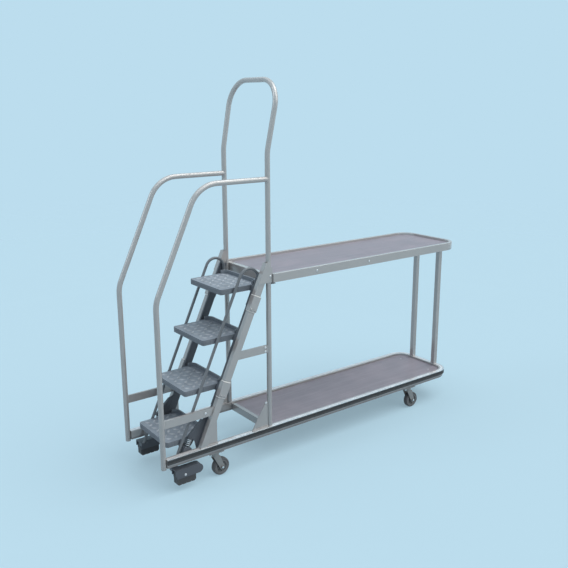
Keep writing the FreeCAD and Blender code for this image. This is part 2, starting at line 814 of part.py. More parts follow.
def make_spring():
    """One unbroken wire wound in biarcs of a half turn, with short straight ends."""
    radius = (spring_d - wire_d) / 2
    height = spring_below + spring_above - wire_d - 2 * spring_end_gap
    pitch = height / spring_turns
    start = helix_point(0, radius, pitch)
    finish = helix_point(2 * math.pi * spring_turns, radius, pitch)
    lead_in = start - helix_heading(0, radius, pitch) * wire_d
    lead_out = finish + helix_heading(2 * math.pi * spring_turns, radius, pitch) * wire_d
    edges = [Part.LineSegment(lead_in, start).toShape()]
    for step in range(spring_turns * 2):
        ends = [math.pi * step, math.pi * (step + 1)]
        points = [helix_point(a, radius, pitch) for a in ends]
        headings = [helix_heading(a, radius, pitch) for a in ends]
        edges += biarc(points, headings)
    edges.append(Part.LineSegment(finish, lead_out).toShape())
    wire = swept(Part.Wire(edges), wire_d / 2)
    samples = [p for edge in edges for p in edge.discretize(Number=7)[:-1]]
    turn = 24
    pairs = [(i, j) for i in range(len(samples)) for j in range(i + turn // 2, len(samples))]
    gap = min((samples[i] - samples[j]).Length for i, j in pairs) - wire_d
    print("spring: least gap to itself %.2f mm" % gap)
    wire.translate(V(0, 0, wire_d / 2 + spring_end_gap))
    wire.rotate(V(0, 0, 0), V(0, 1, 0), 90 - math.degrees(incline))
    wire.translate(spring_point(-spring_below))
    return wire


def make_spring_cup():
    """A block on the rail's inner face with a slanting socket for the spring."""
    bore_r = spring_d / 2 + cup_clear
    half = (bore_r + cup_wall) / math.sin(incline)
    low = rail_bottom + cup_wall * 5
    high = rail_top + cup_wall * 4
    axis = spring_x - spring_z / slope
    outline = [
        (axis + low / slope - half, low),
        (axis + low / slope + half + cup_wall * 2, low),
        (axis + high / slope + half, high - cup_wall * 3),
        (axis + high / slope, high),
        (axis + high / slope - half, high),
    ]
    block = plate(outline, (spring_y - bore_r - 2, rail_in - weld_gap))
    bore = Part.makeCylinder(bore_r, spring_below * 2, spring_point(-spring_below), up_slope)
    return block.cut(bore)


def make_spring_plate():
    """The plate on the ladder's stringer that presses on the spring, with a folded front flange."""
    seat = spring_point(spring_above)
    tip = seat + up_slope * seat_t
    nose = tip - across_slope * (spring_d / 2)
    high = V(stringer_edge(nose.z + press_h), 0, nose.z + press_h)
    back = ladder_gap
    foot_z = ladder_stringer_foot + press_foot
    web_y = (ladder_in + weld_gap, ladder_in + weld_gap + plate_t)
    outline = [
        (nose.x, nose.z),
        (seat.x - across_slope.x * spring_d / 2, seat.z - across_slope.z * spring_d / 2),
        (seat.x + across_slope.x * spring_d / 2, seat.z + across_slope.z * spring_d / 2),
        (seat.x + across_slope.x * spring_d * 1.1, seat.z + across_slope.z * spring_d * 1.1),
        (stringer_edge(foot_z) - back, foot_z),
        (high.x - back, high.z),
        (high.x - back - plate_t * 8, high.z - plate_t * 3),
    ]
    web = plate(outline, web_y)
    washer = Part.makeCylinder(spring_d / 2, seat_t, seat, up_slope)
    fold = bar_between(
        V(nose.x, 0, nose.z), V(high.x - back - plate_t * 8, 0, high.z - plate_t * 3), plate_t,
        (spring_y - spring_d / 3, spring_y + spring_d / 3),
    )
    return web.fuse([washer, fold]).removeSplitter()


def make_springs():
    cup = make_spring_cup()
    press = make_spring_plate()
    spring = make_spring()
    for name, side in SIDES.items():
        save("spring_cup_" + name, mirrored(cup, side))
        save("spring_plate_" + name, mirrored(press, side))
        save("ladder_spring_" + name, mirrored(spring, side))


# Feet at the bottom of the ladder's rods
def make_feet():
    y = (post_y - foot_w / 2, post_y + foot_w / 2)
    low = foot_top - shoe_h
    end_r = shoe_h / 2
    back = foot_front_x + foot_length
    body = box((foot_front_x, back - end_r), y, (low, foot_top))
    round_end = Part.makeCylinder(end_r, foot_w, V(back - end_r, y[0], low + end_r), V(0, 1, 0))
    shoe = body.fuse(round_end).removeSplitter()
    inside_y = (y[0] + shoe_t, y[1] - shoe_t)
    shoe = shoe.cut(box((foot_front_x - 1, back), inside_y, (low - 1, foot_top - shoe_t)))
    notch = shoe_h / 3
    notch_x = (foot_front_x - 1, foot_front_x + notch / 2)
    shoe = shoe.cut(box(notch_x, (y[0] - 1, y[1] + 1), (low - 1, low + notch)))
    arm_in = rod_y - rod_d / 2 - 1
    arm_x = (foot_front_x, foot_front_x + foot_arm_x)
    arm = box(arm_x, (arm_in, y[0] + shoe_t), (foot_top - foot_arm_h, foot_top))
    shoe = shoe.fuse(arm).removeSplitter()

    pad_y = (y[0] + shoe_t + weld_gap, y[1] - shoe_t - weld_gap)
    front = foot_front_x + notch / 2
    rear = front + pad_length
    bevel = notch / 2
    upper = foot_top - shoe_t - weld_gap
    pad = plate([
        (front + bevel, pad_bottom),
        (rear - bevel, pad_bottom),
        (rear, pad_bottom + bevel),
        (rear, upper),
        (front, upper),
        (front, pad_bottom + bevel),
    ], pad_y)
    for count in range(3):
        x = front + pad_length * (count + 1) / 4
        pad = pad.cut(box((x - 2, x + 2), (pad_y[0] - 1, pad_y[1] + 1), (pad_bottom - 1, pad_bottom + 3)))
    for name, side in SIDES.items():
        save("foot_shoe_" + name, mirrored(shoe, side))
        save("foot_pad_" + name, mirrored(pad, side))


# Casters
def fork_solid():
    """A swivel fork: a round crown with two legs that reach back to the axle."""
    top = rail_bottom - caster_plate_t - race_h - weld_gap
    low = top - crown_h
    leg_y = hub_w / 2 + fork_gap
    crown = Part.makeCone(leg_y + fork_t + 2, race_d / 2, crown_h, V(0, 0, low))
    axle_z = wheel_d / 2
    fork = crown
    for side in (-1, 1):
        y = side * (leg_y + fork_t / 2)
        ends = (y - fork_t / 2, y + fork_t / 2)
        reach = leg_y + fork_t
        leg = plate([
            (-reach * 0.75, low + 1),
            (reach, low + 1),
            (caster_offset + fork_boss_r * 0.95, axle_z + fork_boss_r * 0.3),
            (caster_offset - fork_boss_r * 0.8, axle_z - fork_boss_r * 0.6),
        ], ends)
        boss = Part.makeCylinder(fork_boss_r, fork_t, V(caster_offset, ends[0], axle_z), V(0, 1, 0))
        fork = fork.fuse([leg, boss])
    axle_r = axle_d / 2 + running_fit
    hole = Part.makeCylinder(axle_r, 4 * wheel_w, V(caster_offset, -2 * wheel_w, axle_z), V(0, 1, 0))
    king = Part.makeCylinder(kingpin_d / 2 + running_fit, crown_h * 2, V(0, 0, low - crown_h / 2))
    return fork.removeSplitter().cut(hole).cut(king)


def axle_solid():
    """The axle bolt with its head and nut outside the fork's legs."""
    half = hub_w / 2 + fork_gap + fork_t + running_fit
    shaft = Part.makeCylinder(axle_d / 2, 2 * half, V(caster_offset, -half, wheel_d / 2), V(0, 1, 0))
    cap_h = axle_d * 0.45
    head = Part.makeCylinder(axle_d * 0.8, cap_h, V(caster_offset, -half - cap_h, wheel_d / 2), V(0, 1, 0))
    nut = Part.makeCylinder(axle_d * 0.8, cap_h, V(caster_offset, half, wheel_d / 2), V(0, 1, 0))
    return shaft.fuse([head, nut]).removeSplitter()


def revolved(points, centre):
    """A profile of radius and place across the wheel, turned about the axle."""
    corners = [centre + V(0, y, r) for r, y in points]
    face = Part.Face(Part.makePolygon(corners + corners[:1]))
    return face.revolve(centre, V(0, 1, 0), 360)


def wheel_solids():
    """The wheel's centre and the tyre round it."""
    centre = V(caster_offset, 0, wheel_d / 2)
    bore = axle_d / 2 + running_fit
    rim = rim_d / 2
    half = hub_w / 2
    boss = axle_d * 0.95
    web = half * 0.45
    edge = wheel_w * 0.44
    core = revolved([
        (bore, -half), (boss, -half), (boss + 2, -web), (rim - 8, -web), (rim - 6, -edge), (rim, -edge),
        (rim, edge), (rim - 6, edge), (rim - 8, web), (boss + 2, web), (boss, half), (bore, half),
    ], centre)
    outer = wheel_d / 2
    inner = rim + tyre_fit
    half = wheel_w / 2
    tyre = revolved([
        (inner, -half * 0.88), (outer - 5, -half), (outer - 1, -half * 0.7), (outer, -half * 0.35),
        (outer, half * 0.35), (outer - 1, half * 0.7), (outer - 5, half), (inner, half * 0.88),
    ], centre)
    return core, tyre


def caster_plate():
    """The bolted top plate with its bearing race and kingpin."""
    low = rail_bottom - caster_plate_t
    l = caster_plate_l / 2
    w = caster_plate_w / 2
    body = box((-l, l), (-w, w), (low, rail_bottom - weld_gap))
    race = Part.makeCylinder(race_d / 2, race_h, V(0, 0, low - race_h))
    pin_low = low - race_h - 2 * weld_gap - crown_h
    pin = Part.makeCylinder(kingpin_d / 2, low - pin_low, V(0, 0, pin_low))
    head_h = kingpin_d / 3
    head = Part.makeCylinder(kingpin_head_d / 2, head_h, V(0, 0, pin_low - head_h))
    return body.fuse([race, pin, head]).removeSplitter()


def make_casters():
    plates = []
    for end, x in zip(("front", "rear"), caster_x):
        for name, side in SIDES.items():
            place = V(x, side * caster_y, 0)
            core, tyre = wheel_solids()
            top = caster_plate()
            fork = fork_solid()
            axle = axle_solid()
            for piece in (top, fork, axle, core, tyre):
                piece.translate(place)
            label = end + "_" + name
            plates.append(top)
            save("caster_fork_" + label, fork, axle)
            save("caster_wheel_" + label, core)
            save("caster_tyre_" + label, tyre)
    save("caster_plates", *plates)


# Bolt heads that show
def make_bolts():
    up = V(0, 0, 1)
    frame = []
    ladder = []
    for side in SIDES.values():
        out = V(0, side, 0)
        bar_face = side * (post_y + bar_t / 2)
        plate_face = side * (rail_out + weld_gap + plate_t)
        frame.append(bolt_head(V(deck_bolt_x, side * deck_bolt_y, board_top - bolt_h), up))
        frame.append(bolt_head(V(stringer_edge(brace_z) - bar_h, bar_face, brace_z), out))
        frame.append(bolt_head(V(-tube_d, bar_face, tie_z + bar_h / 4), out))
        frame.append(bolt_head(V(-tube_d, bar_face, tie_z - bar_h / 4), out))
        frame.append(bolt_head(V(0, plate_face, shelf_top - shelf_face / 4), out))
        gusset_top = rail_top + post_gusset_h - bolt_r
        frame.append(bolt_head(V(-tube_r - bolt_r * 2, side * (post_y + plate_t), gusset_top), out))
        screw_z = shelf_top - shelf_face / 2
        frame += [bolt_head(V(x, side * shelf_half, screw_z), out) for x in shelf_screw_x]
        sleeve_face = rail_out + weld_gap + liner_t + sleeve_t
        for z in sleeve_z:
            for offset in (-1, 1):
                low_end = stringer_centre(z) - up_slope * (sleeve_length * 0.38)
                spot = low_end + across_slope * (offset * stringer_w * 0.3)
                ladder.append(bolt_head(V(spot.x, side * sleeve_face, spot.z), out))
        foot_bolt = V(foot_front_x + pad_length / 2, side * (post_y + foot_w / 2), foot_top - shoe_h * 0.7)
        ladder.append(bolt_head(foot_bolt, out))
    save("frame_bolts", *frame)
    save("ladder_bolts", *ladder)



os.makedirs("parts", exist_ok=True)
make_deck()
make_hoop()
make_handrails()
make_side_bars()
make_stringers()
make_gussets()
make_corner_plates()
make_shelf()
make_treads()
make_ladder_frame()
make_tread_brackets()
make_sleeves()
make_springs()
make_feet()
make_casters()
make_bolts()
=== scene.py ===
import json
import math

import bmesh
import bpy
from bpy.props import FloatProperty, FloatVectorProperty, IntProperty, PointerProperty
from mathutils import Matrix, Vector


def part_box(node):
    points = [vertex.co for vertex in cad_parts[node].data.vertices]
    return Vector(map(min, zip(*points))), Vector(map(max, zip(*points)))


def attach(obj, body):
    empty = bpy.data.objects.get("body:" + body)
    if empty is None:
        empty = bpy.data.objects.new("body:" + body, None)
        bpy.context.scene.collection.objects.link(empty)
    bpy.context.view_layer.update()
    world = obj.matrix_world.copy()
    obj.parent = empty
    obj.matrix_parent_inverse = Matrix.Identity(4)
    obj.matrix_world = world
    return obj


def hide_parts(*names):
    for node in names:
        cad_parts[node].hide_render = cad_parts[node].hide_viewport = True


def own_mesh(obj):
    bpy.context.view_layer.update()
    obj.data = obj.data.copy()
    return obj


bl_info = {
    "name": "Order picking trolley",
    "version": (1, 0, 0),
    "blender": (4, 5, 0),
    "location": "View3D > Sidebar > Trolley",
    "description": "Dresses the packed order picking trolley and sets its stage",
    "category": "Object",
}

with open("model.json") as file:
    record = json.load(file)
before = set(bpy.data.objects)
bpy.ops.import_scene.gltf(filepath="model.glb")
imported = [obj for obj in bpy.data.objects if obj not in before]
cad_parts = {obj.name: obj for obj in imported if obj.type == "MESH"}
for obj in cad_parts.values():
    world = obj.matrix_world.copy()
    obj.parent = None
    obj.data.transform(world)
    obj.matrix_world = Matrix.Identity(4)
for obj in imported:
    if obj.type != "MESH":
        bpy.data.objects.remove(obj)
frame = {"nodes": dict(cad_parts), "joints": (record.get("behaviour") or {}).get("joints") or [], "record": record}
NODES = frame["nodes"]
SLOTS = {row["node"]: row["material_slot"] for row in frame["record"]["subparts"]}
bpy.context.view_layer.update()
SLIDE = next(joint for joint in frame["joints"] if joint["name"] == "ladder_slide")
UP_SLOPE = -Vector(SLIDE["axis"]).normalized()
CASTERS = ("front_near", "front_far", "rear_near", "rear_far")
SIDES = {"near": -1, "far": 1}
PLATES = ("brace", "tie_bar", "stringer", "rail_gussets", "corner_plates")
PLATES += ("guide_sleeves", "deck_front", "under_deck")

# Steps: height of the back curb and of the grips above the top, and depth of the skirt
CURB = 0.020
GRIP = 0.0025
SKIRT = 0.029

# Ribs on the skirts: their height, the gap under them, their share of the pitch, how far they stand out
# and are let in, the slope of their sides, and the room kept from the brackets
RIB_TALL = SKIRT * 0.72
RIB_GAP = 0.0015
RIB_SHARE = 0.62
RIB_PROUD = 0.0015
RIB_SUNK = 0.0004
RIB_SLOPE = 0.0012
RIB_ROOM = 0.006

# Lengths free of ribs on a front and on a side, and how far forward a side's ribs are centred
FRONT_MARGIN = 0.034
SIDE_MARGIN = 0.06
SIDE_SHIFT = 0.01

# The deck's rail: its outer corner radius, the depth of its bright edge, painted as wear and a highlight, and the
# height, depth and tint of the painted shade at its foot
RAIL_CORNER = 0.095
RAIL_HIGHLIGHT_DEPTH = 0.004
RAIL_SHADE_HEIGHT = 0.014
RAIL_SHADE_DEPTH = 0.004
RAIL_SHADE_TINT = (0.62, 0.58, 0.58)

# The frame's coat: the height below which painted shade darkens it towards the floor, the tint that painted shade
# nears at the floor, and its worn tone
SHADE_TOP = 2.0
SHADE_TINT = (0.68, 0.69, 0.71)
FRAME_BARE = (0.5, 0.51, 0.52)

# Caster plates: inset of the nuts from the ends and the sides, and how far below the top they start
NUT_INSET_X = 0.011
NUT_INSET_Y = 0.010
NUT_DROP = 0.0057

# Hub ribs: where they stand beside the wheel's middle, how many there are, half their width,
# the share of it left at the crest, and the reach and height of both ends
HUB_FACE = 0.0081
HUB_RIBS = 8
HUB_RIB_HALF = 0.0014
HUB_RIB_CREST = 0.7
HUB_RIB_ENDS = ((0.0128, 0.0062), (0.0295, 0.0034))

# Springs: points in a turn, points round the wire, and the pitch of a closed turn in wires
WIRE_STEPS = 28
WIRE_RING = 10
CLOSED_PITCH = 1.06

# Weld beads: distance between points, points round a bead, depth and turn of the ripples, share at an end
BEAD_STEP = 0.0022
BEAD_RING = 8
RIPPLE = 0.16
RIPPLE_TURN = 2.1
BEAD_END = 0.35

# Seams: how far they stand off, are let in or stop short where the named pieces meet
HOOP_LIFT = 0.0006
TUBE_SINK = 0.0002
SADDLE_STEPS = 40
SADDLE_SHARE = 0.995
POST_GAP = 0.0003
BAR_INSET = 0.001
STRINGER_LIFT = 0.0004
STRINGER_GAP = 0.0002
STRINGER_SINK = 0.0006
STRINGER_INSET = 0.002
STRINGER_SEAM = 0.042

# Modelling: gap that joins faces, and the angles above which an edge is rounded or kept sharp
JOIN_GAP = 0.00002
ROUND_ANGLE = math.radians(40)
SHARP_ANGLE = math.radians(35)

# Stage: the floor's size, the distances over which it fades, the tone it throws on the trolley,
# the backdrop, the lights' tints, the back light's share of the key light, and the camera
FLOOR_RADIUS = 14.0
FLOOR_STEP = 0.8
FLOOR_FADE = (4.0, 11.0)
FLOOR_BOUNCE = (0.385, 0.41, 0.435)
BACKDROP = (0.503, 0.723, 0.855)
WHITE = (1.0, 1.0, 1.0)
WARM = (1.0, 0.945, 0.87)
COOL = (0.89, 0.95, 1.0)
BACK_SHARE = 0.3
CAMERA_PLACE = (-2.6074, -3.2580, 1.9776)
CAMERA_YAW = math.radians(37.018)
CAMERA_PITCH = math.radians(14.282)
CAMERA_ROLL = math.radians(0.207)


def colour(name, value, text):
    return FloatVectorProperty(name=name, description=text, default=value, subtype="COLOR", min=0, max=1)


def number(name, value, text, **limits):
    return FloatProperty(name=name, description=text, default=value, **limits)


def length(name, value, text):
    return number(name, value, text, unit="LENGTH", min=0)


class TrolleyFinish(bpy.types.PropertyGroup):
    """Colours and wear of the trolley's finishes, with the colours of two painted highlights."""

    frame_grey: colour("Frame grey", (0.536, 0.526, 0.52), "Powder coat on the frame, handrails and hoop")
    rod_grey: colour("Rod grey", (0.172, 0.193, 0.215), "Paint on the ladder's rods")
    step_slate: colour("Step slate", (0.16, 0.188, 0.222), "Moulded plastic of the steps")
    ladder_black: colour("Ladder black", (0.084, 0.096, 0.116), "Paint on the ladder's stringers and feet")
    deck_film: colour("Deck film", (0.238, 0.22, 0.257), "Resin film on the deck and shelf boards")
    bumper_black: colour("Bumper black", (0.038, 0.04, 0.044), "Rubber of the bumper and foot pads")
    edge_bright: colour("Bright edge", (0.8, 0.81, 0.82), "Aluminium of the bumper's edge")
    zinc: colour("Zinc", (0.33, 0.325, 0.32), "Plated caster plates and forks")
    wheel_grey: colour("Wheel grey", (0.16, 0.17, 0.18), "Plastic of the wheel centres")
    tyre_grey: colour("Tyre grey", (0.1, 0.104, 0.112), "Rubber of the tyres")
    # Lighter grip tops on the steps: partly rubbed by shoes and partly a painted highlight
    step_worn_highlight: colour("Highlit worn step", (0.5, 0.55, 0.605), "Tops of the steps' grips, rubbed by shoes")
    # Bright rail edge: a near-white strip on the rail's outer top edge, partly wear and partly a painted highlight
    rail_highlight: colour("Highlit worn rail", (0.84, 0.855, 0.88), "Outer edge of the deck's rail, rubbed bright")
    liner_white: colour("Liner white", (0.82, 0.83, 0.82), "Nylon of the sleeve liners")
    bolt_bright: colour("Bolt bright", (0.86, 0.87, 0.88), "Plated bolts and the springs")
    wear: number("Wear", 0.55, "How worn the edges are", min=0, max=1, subtype="FACTOR")


class TrolleySizes(bpy.types.PropertyGroup):
    """Sizes of the pieces added to the solids."""

    edge_round: length("Edge rounding", 0.0009, "Radius on the edges of plates and boxes")
    spring_wire: length("Spring wire", 0.0034, "Thickness of the springs' wire")
    spring_width: length("Spring width", 0.026, "Outside width of the springs")
    spring_length: length("Spring length", 0.0732, "Length of the springs at rest")
    spring_turns: IntProperty(name="Spring turns", description="Open turns of each", default=6, min=3, max=12)
    weld_bead: length("Weld bead", 0.0022, "Thickness of the weld beads")
    rib_pitch: length("Rib pitch", 0.0135, "Distance between the ribs on the steps' skirts")
    nut_width: length("Nut width", 0.013, "Width across the caster plates' nuts")


class TrolleyStage(bpy.types.PropertyGroup):
    """The floor, the light and the camera."""

    floor: colour("Floor", (0.474, 0.675, 0.79), "Pale plain floor")
    lens: number("Lens", 45.87, "Focal length of the camera", unit="CAMERA")
    key_power: number("Key light", 0.67, "Strength of each of the main soft lights", min=0)
    fill_power: number("Fill light", 1.12, "Strength of the second soft light", min=0)
    rim_power: number("Rim light", 0.4, "Strength of the light that runs along the tubes", min=0)
    lift: number("Shadow lift", 0.48, "Share of the floor's own colour seen in the shadow", min=0, max=1)
    sky: number("Sky light", 0.2, "Strength of the even light all round", min=0)
    zenith: number("Overhead light", 0.38, "Strength that the sky gains towards overhead", min=0)


# Shader nodes

COLOR = "NodeSocketColor"
FLOAT = "NodeSocketFloat"
GREY = (0.5, 0.5, 0.5, 1)
ALONG = (4.0, 220.0, 220.0)


def feed(tree, socket, value):
    """Links a socket to another one, or sets it to a plain value."""
    if isinstance(value, bpy.types.NodeSocket):
        tree.links.new(value, socket)
    else:
        socket.default_value = value


def node(tree, kind, values=None, **settings):
    """A node with its settings, and with its inputs linked or set."""
    made = tree.nodes.new(kind)
    for key, value in settings.items():
        setattr(made, key, value)
    for key, value in (values or {}).items():
        feed(tree, made.inputs[key], value)
    return made


def object_place(tree):
    return node(tree, "ShaderNodeTexCoord").outputs["Object"]


def noise(tree, where, scale, detail=4.0, rough=0.55):
    values = {"Vector": where, "Scale": scale, "Detail": detail, "Roughness": rough}
    return node(tree, "ShaderNodeTexNoise", values).outputs["Fac"]


def maths(tree, operation, a, b=0.0, clamp=False):
    made = node(tree, "ShaderNodeMath", {0: a, 1: b}, operation=operation, use_clamp=clamp)
    return made.outputs[0]


def product(tree, first, *others):
    """Values multiplied together, held between zero and one."""
    for other in others:
        first = maths(tree, "MULTIPLY", first, other, True)
    return first


def span(tree, value, low, high, to_low=0.0, to_high=1.0):
    """A value taken from one range to another and held within it."""
    values = {"Value": value, "From Min": low, "From Max": high, "To Min": to_low, "To Max": to_high}
    return node(tree, "ShaderNodeMapRange", values).outputs["Result"]


def mix_colour(tree, share, a, b, blend="MIX"):
    values = {"Factor": share, "A": a, "B": b}
    return node(tree, "ShaderNodeMix", values, data_type="RGBA", blend_type=blend).outputs["Result"]


# Shared surface effects

def effect(name, inputs, outputs):
    """A new shader node group with named sockets, and its two end nodes."""
    tree = bpy.data.node_groups.new(name, "ShaderNodeTree")
    for label, kind, value in inputs:
        socket = tree.interface.new_socket(name=label, in_out="INPUT", socket_type=kind)
        socket.default_value = value
    for label, kind in outputs:
        tree.interface.new_socket(name=label, in_out="OUTPUT", socket_type=kind)
    return tree, tree.nodes.new("NodeGroupInput"), tree.nodes.new("NodeGroupOutput")


def edge_wear_effect():
    """Paint rubbed thin along edges, broken up by noise."""
    inputs = (
        ("Color", COLOR, GREY), ("Worn", COLOR, (0.6, 0.6, 0.6, 1)),
        ("Amount", FLOAT, 0.5), ("Radius", FLOAT, 0.0015),
    )
    tree, start, end = effect("Edge wear", inputs, (("Color", COLOR),))
    given = start.outputs
    bevel = node(tree, "ShaderNodeBevel", {"Radius": given["Radius"]}, samples=4)
    flat = node(tree, "ShaderNodeNewGeometry").outputs["True Normal"]
    normals = {0: bevel.outputs["Normal"], 1: flat}
    agree = node(tree, "ShaderNodeVectorMath", normals, operation="DOT_PRODUCT")
    edge = span(tree, agree.outputs["Value"], 0.995, 0.8)
    patch = span(tree, noise(tree, object_place(tree), 60.0, detail=6.0, rough=0.65), 0.42, 0.62)
    mask = product(tree, edge, patch, given["Amount"])
    feed(tree, end.inputs["Color"], mix_colour(tree, mask, given["Color"], given["Worn"]))
    return tree


def handling_effect():
    """Dust, rubbed patches and fine scratches that handling leaves."""
    inputs = (
        ("Color", COLOR, GREY), ("Dust", COLOR, (0.5, 0.5, 0.48, 1)),
        ("Amount", FLOAT, 0.3), ("Roughness", FLOAT, 0.4),
    )
    tree, start, end = effect("Handling marks", inputs, (("Color", COLOR), ("Roughness", FLOAT)))
    given = start.outputs
    where = object_place(tree)
    stretched = {"Vector": where, "Scale": (9.0, 60.0, 160.0), "Rotation": (0.3, 0.5, 0.2)}
    drawn = node(tree, "ShaderNodeMapping", stretched).outputs["Vector"]
    cloud = span(tree, noise(tree, where, 7.0, detail=5.0, rough=0.6), 0.4, 0.72)
    speck = span(tree, noise(tree, where, 240.0, detail=3.0, rough=0.7), 0.58, 0.72)
    scratch = span(tree, noise(tree, drawn, 3.0, detail=2.0, rough=0.5), 0.66, 0.7)
    marks = product(tree, cloud, 0.7)
    for mark, weight in ((speck, 0.25), (scratch, 0.35)):
        marks = maths(tree, "ADD", marks, product(tree, mark, weight))
    share = product(tree, marks, given["Amount"])
    rough = maths(tree, "ADD", given["Roughness"], product(tree, share, 0.5), True)
    feed(tree, end.inputs["Color"], mix_colour(tree, share, given["Color"], given["Dust"]))
    feed(tree, end.inputs["Roughness"], rough)
    return tree


def grain_effect():
    """Fine moulded or sprayed grain as a height, with a cell size in metres."""
    inputs = (("Grain", FLOAT, 0.0012), ("Pits", FLOAT, 0.3))
    tree, start, end = effect("Surface grain", inputs, (("Height", FLOAT),))
    where = object_place(tree)
    scale = maths(tree, "DIVIDE", 1.0, start.outputs["Grain"])
    cells = node(tree, "ShaderNodeTexVoronoi", {"Vector": where, "Scale": scale}, feature="SMOOTH_F1")
    soft = noise(tree, where, scale, detail=2.0, rough=0.5)
    pits = maths(tree, "MULTIPLY", cells.outputs["Distance"], start.outputs["Pits"])
    feed(tree, end.inputs["Height"], maths(tree, "ADD", soft, pits))
    return tree


def brushed_effect():
    """Long fine lines of drawn or brushed metal, as a tone, a roughness and a height."""
    inputs = (("Color", COLOR, GREY), ("Along", "NodeSocketVector", ALONG))
    outputs = (("Color", COLOR), ("Roughness", FLOAT), ("Height", FLOAT))
    tree, start, end = effect("Brushed lines", inputs, outputs)
    given = start.outputs
    stretched = {0: object_place(tree), 1: given["Along"]}
    drawn = node(tree, "ShaderNodeVectorMath", stretched, operation="MULTIPLY").outputs["Vector"]
    line = noise(tree, drawn, 4.0, detail=3.0, rough=0.6)
    dark = mix_colour(tree, 1.0, given["Color"], (0.72, 0.73, 0.75, 1), "MULTIPLY")
    feed(tree, end.inputs["Color"], mix_colour(tree, line, dark, given["Color"]))
    feed(tree, end.inputs["Roughness"], span(tree, line, 0.2, 0.8, 0.24, 0.46))
    feed(tree, end.inputs["Height"], line)
    return tree


EFFECTS = {}


def placed(tree, maker, values):
    """A shared effect, made once, placed in a material with its own values."""
    if maker not in EFFECTS:
        EFFECTS[maker] = maker()
    return node(tree, "ShaderNodeGroup", values, node_tree=EFFECTS[maker])


# Finishes

def rgba(value, gain=1.0):
    return (*[min(1.0, part * gain) for part in value], 1.0)


def toned(value, gain):
    return [part * gain for part in value]


def shader_of(material):
    return material.node_tree.nodes["Principled BSDF"]


def new_material(name):
    material = bpy.data.materials.new(name)
    material.use_nodes = True
    return material, material.node_tree, shader_of(material)


def surface(tree, shader, tone, rough, height, strength, depth):
    """Feeds a shader's colour and roughness, and its normal from a height."""
    raised = node(tree, "ShaderNodeBump", {"Strength": strength, "Distance": depth, "Height": height})
    feed(tree, shader.inputs["Base Color"], tone)
    feed(tree, shader.inputs["Roughness"], rough)
    feed(tree, shader.inputs["Normal"], raised.outputs["Normal"])


def coated(name, edges, marks, skin, strength, depth):
    """A finish with worn edges, handling marks and a grain, from the values of each effect."""
    material, tree, shader = new_material(name)
    worn = placed(tree, edge_wear_effect, edges)
    handled = placed(tree, handling_effect, {"Color": worn.outputs["Color"], **marks}).outputs
    grain = placed(tree, grain_effect, skin).outputs["Height"]
    surface(tree, shader, handled["Color"], handled["Roughness"], grain, strength, depth)
    return material


def painted(name, tone, bare, wear, rough, dust=0.22, metallic=0.0, peel=0.12):
    """Powder-coated or painted metal, worn along its edges."""
    edges = {"Color": rgba(tone), "Worn": rgba(bare), "Amount": wear}
    marks = {"Dust": rgba(tone, 1.45), "Amount": dust, "Roughness": rough}
    made = coated(name, edges, marks, {"Grain": 0.0011, "Pits": 0.35}, strength=peel, depth=0.0002)
    shader_of(made).inputs["Metallic"].default_value = metallic
    return made


def frame_coat(finish):
    """The frame's silver-grey powder coat, with painted shade that darkens it towards the floor, made once."""
    name = "Frame powder coat"
    made = bpy.data.materials.get(name)
    if not made:
        wear = finish.wear * 0.4
        tone = finish.frame_grey
        made = painted(name, tone, FRAME_BARE, wear, rough=0.24, dust=0.06, metallic=0.32, peel=0.03)
        shader = shader_of(made)
        shader.inputs["Coat Weight"].default_value = 0.35
        shader.inputs["Coat Roughness"].default_value = 0.12
        # Painted shade: the coat darkens from the shade top down to the floor, as light falls off lower down
        painted_shade_below(made, SHADE_TOP, SHADE_TOP, SHADE_TINT)
    return made


def moulded(name, tone, rough, grain, dust, strength=0.25, wear=0.0):
    """Moulded plastic or rubber with a fine grain."""
    edges = {"Color": rgba(tone), "Worn": rgba(tone, 1.9), "Amount": wear, "Radius": 0.002}
    dusty = [0.08 + part * 1.5 for part in tone]
    marks = {"Dust": rgba(dusty), "Amount": dust, "Roughness": rough}
    return coated(name, edges, marks, {"Grain": grain, "Pits": 0.8}, strength, depth=0.0003)


def bare_metal(name, tone, along=ALONG, metallic=1.0):
    """Plated or drawn metal with fine lines."""
    material, tree, shader = new_material(name)
    lines = placed(tree, brushed_effect, {"Color": rgba(tone), "Along": along}).outputs
    values = {"Color": lines["Color"], "Dust": rgba(tone, 0.7), "Amount": 0.25}
    marked = placed(tree, handling_effect, values).outputs["Color"]
    surface(tree, shader, marked, lines["Roughness"], lines["Height"], strength=0.05, depth=0.0001)
    shader.inputs["Metallic"].default_value = metallic
    return material


def deck_film_material(tone):
    """Film-faced board with a pressed mesh, scuffed lengthways by loads."""
    material, tree, shader = new_material("Deck film")
    where = object_place(tree)
    weave = []
    for axis in ("X", "Y"):
        values = {"Vector": where, "Scale": 38.0, "Distortion": 0.3, "Detail": 1.0}
        weave.append(node(tree, "ShaderNodeTexWave", values, bands_direction=axis).outputs["Fac"])
    drawn = node(tree, "ShaderNodeMapping", {"Vector": where, "Scale": (1.2, 18.0, 1.0)}).outputs["Vector"]
    scuff = span(tree, noise(tree, drawn, 3.0, detail=6.0, rough=0.62), 0.45, 0.75)
    values = {"Color": rgba(tone), "Dust": rgba(tone, 1.9), "Amount": 0.42, "Roughness": 0.42}
    marks = placed(tree, handling_effect, values).outputs
    scuffed = mix_colour(tree, product(tree, scuff, 0.35), marks["Color"], rgba(tone, 1.6))
    mesh = maths(tree, "MAXIMUM", *weave)
    surface(tree, shader, scuffed, marks["Roughness"], mesh, strength=0.35, depth=0.0003)
    return material


def base_colour(material):
    """The shader's colour input, and the socket that feeds it so far."""
    into = shader_of(material).inputs["Base Color"]
    return into, into.links[0].from_socket


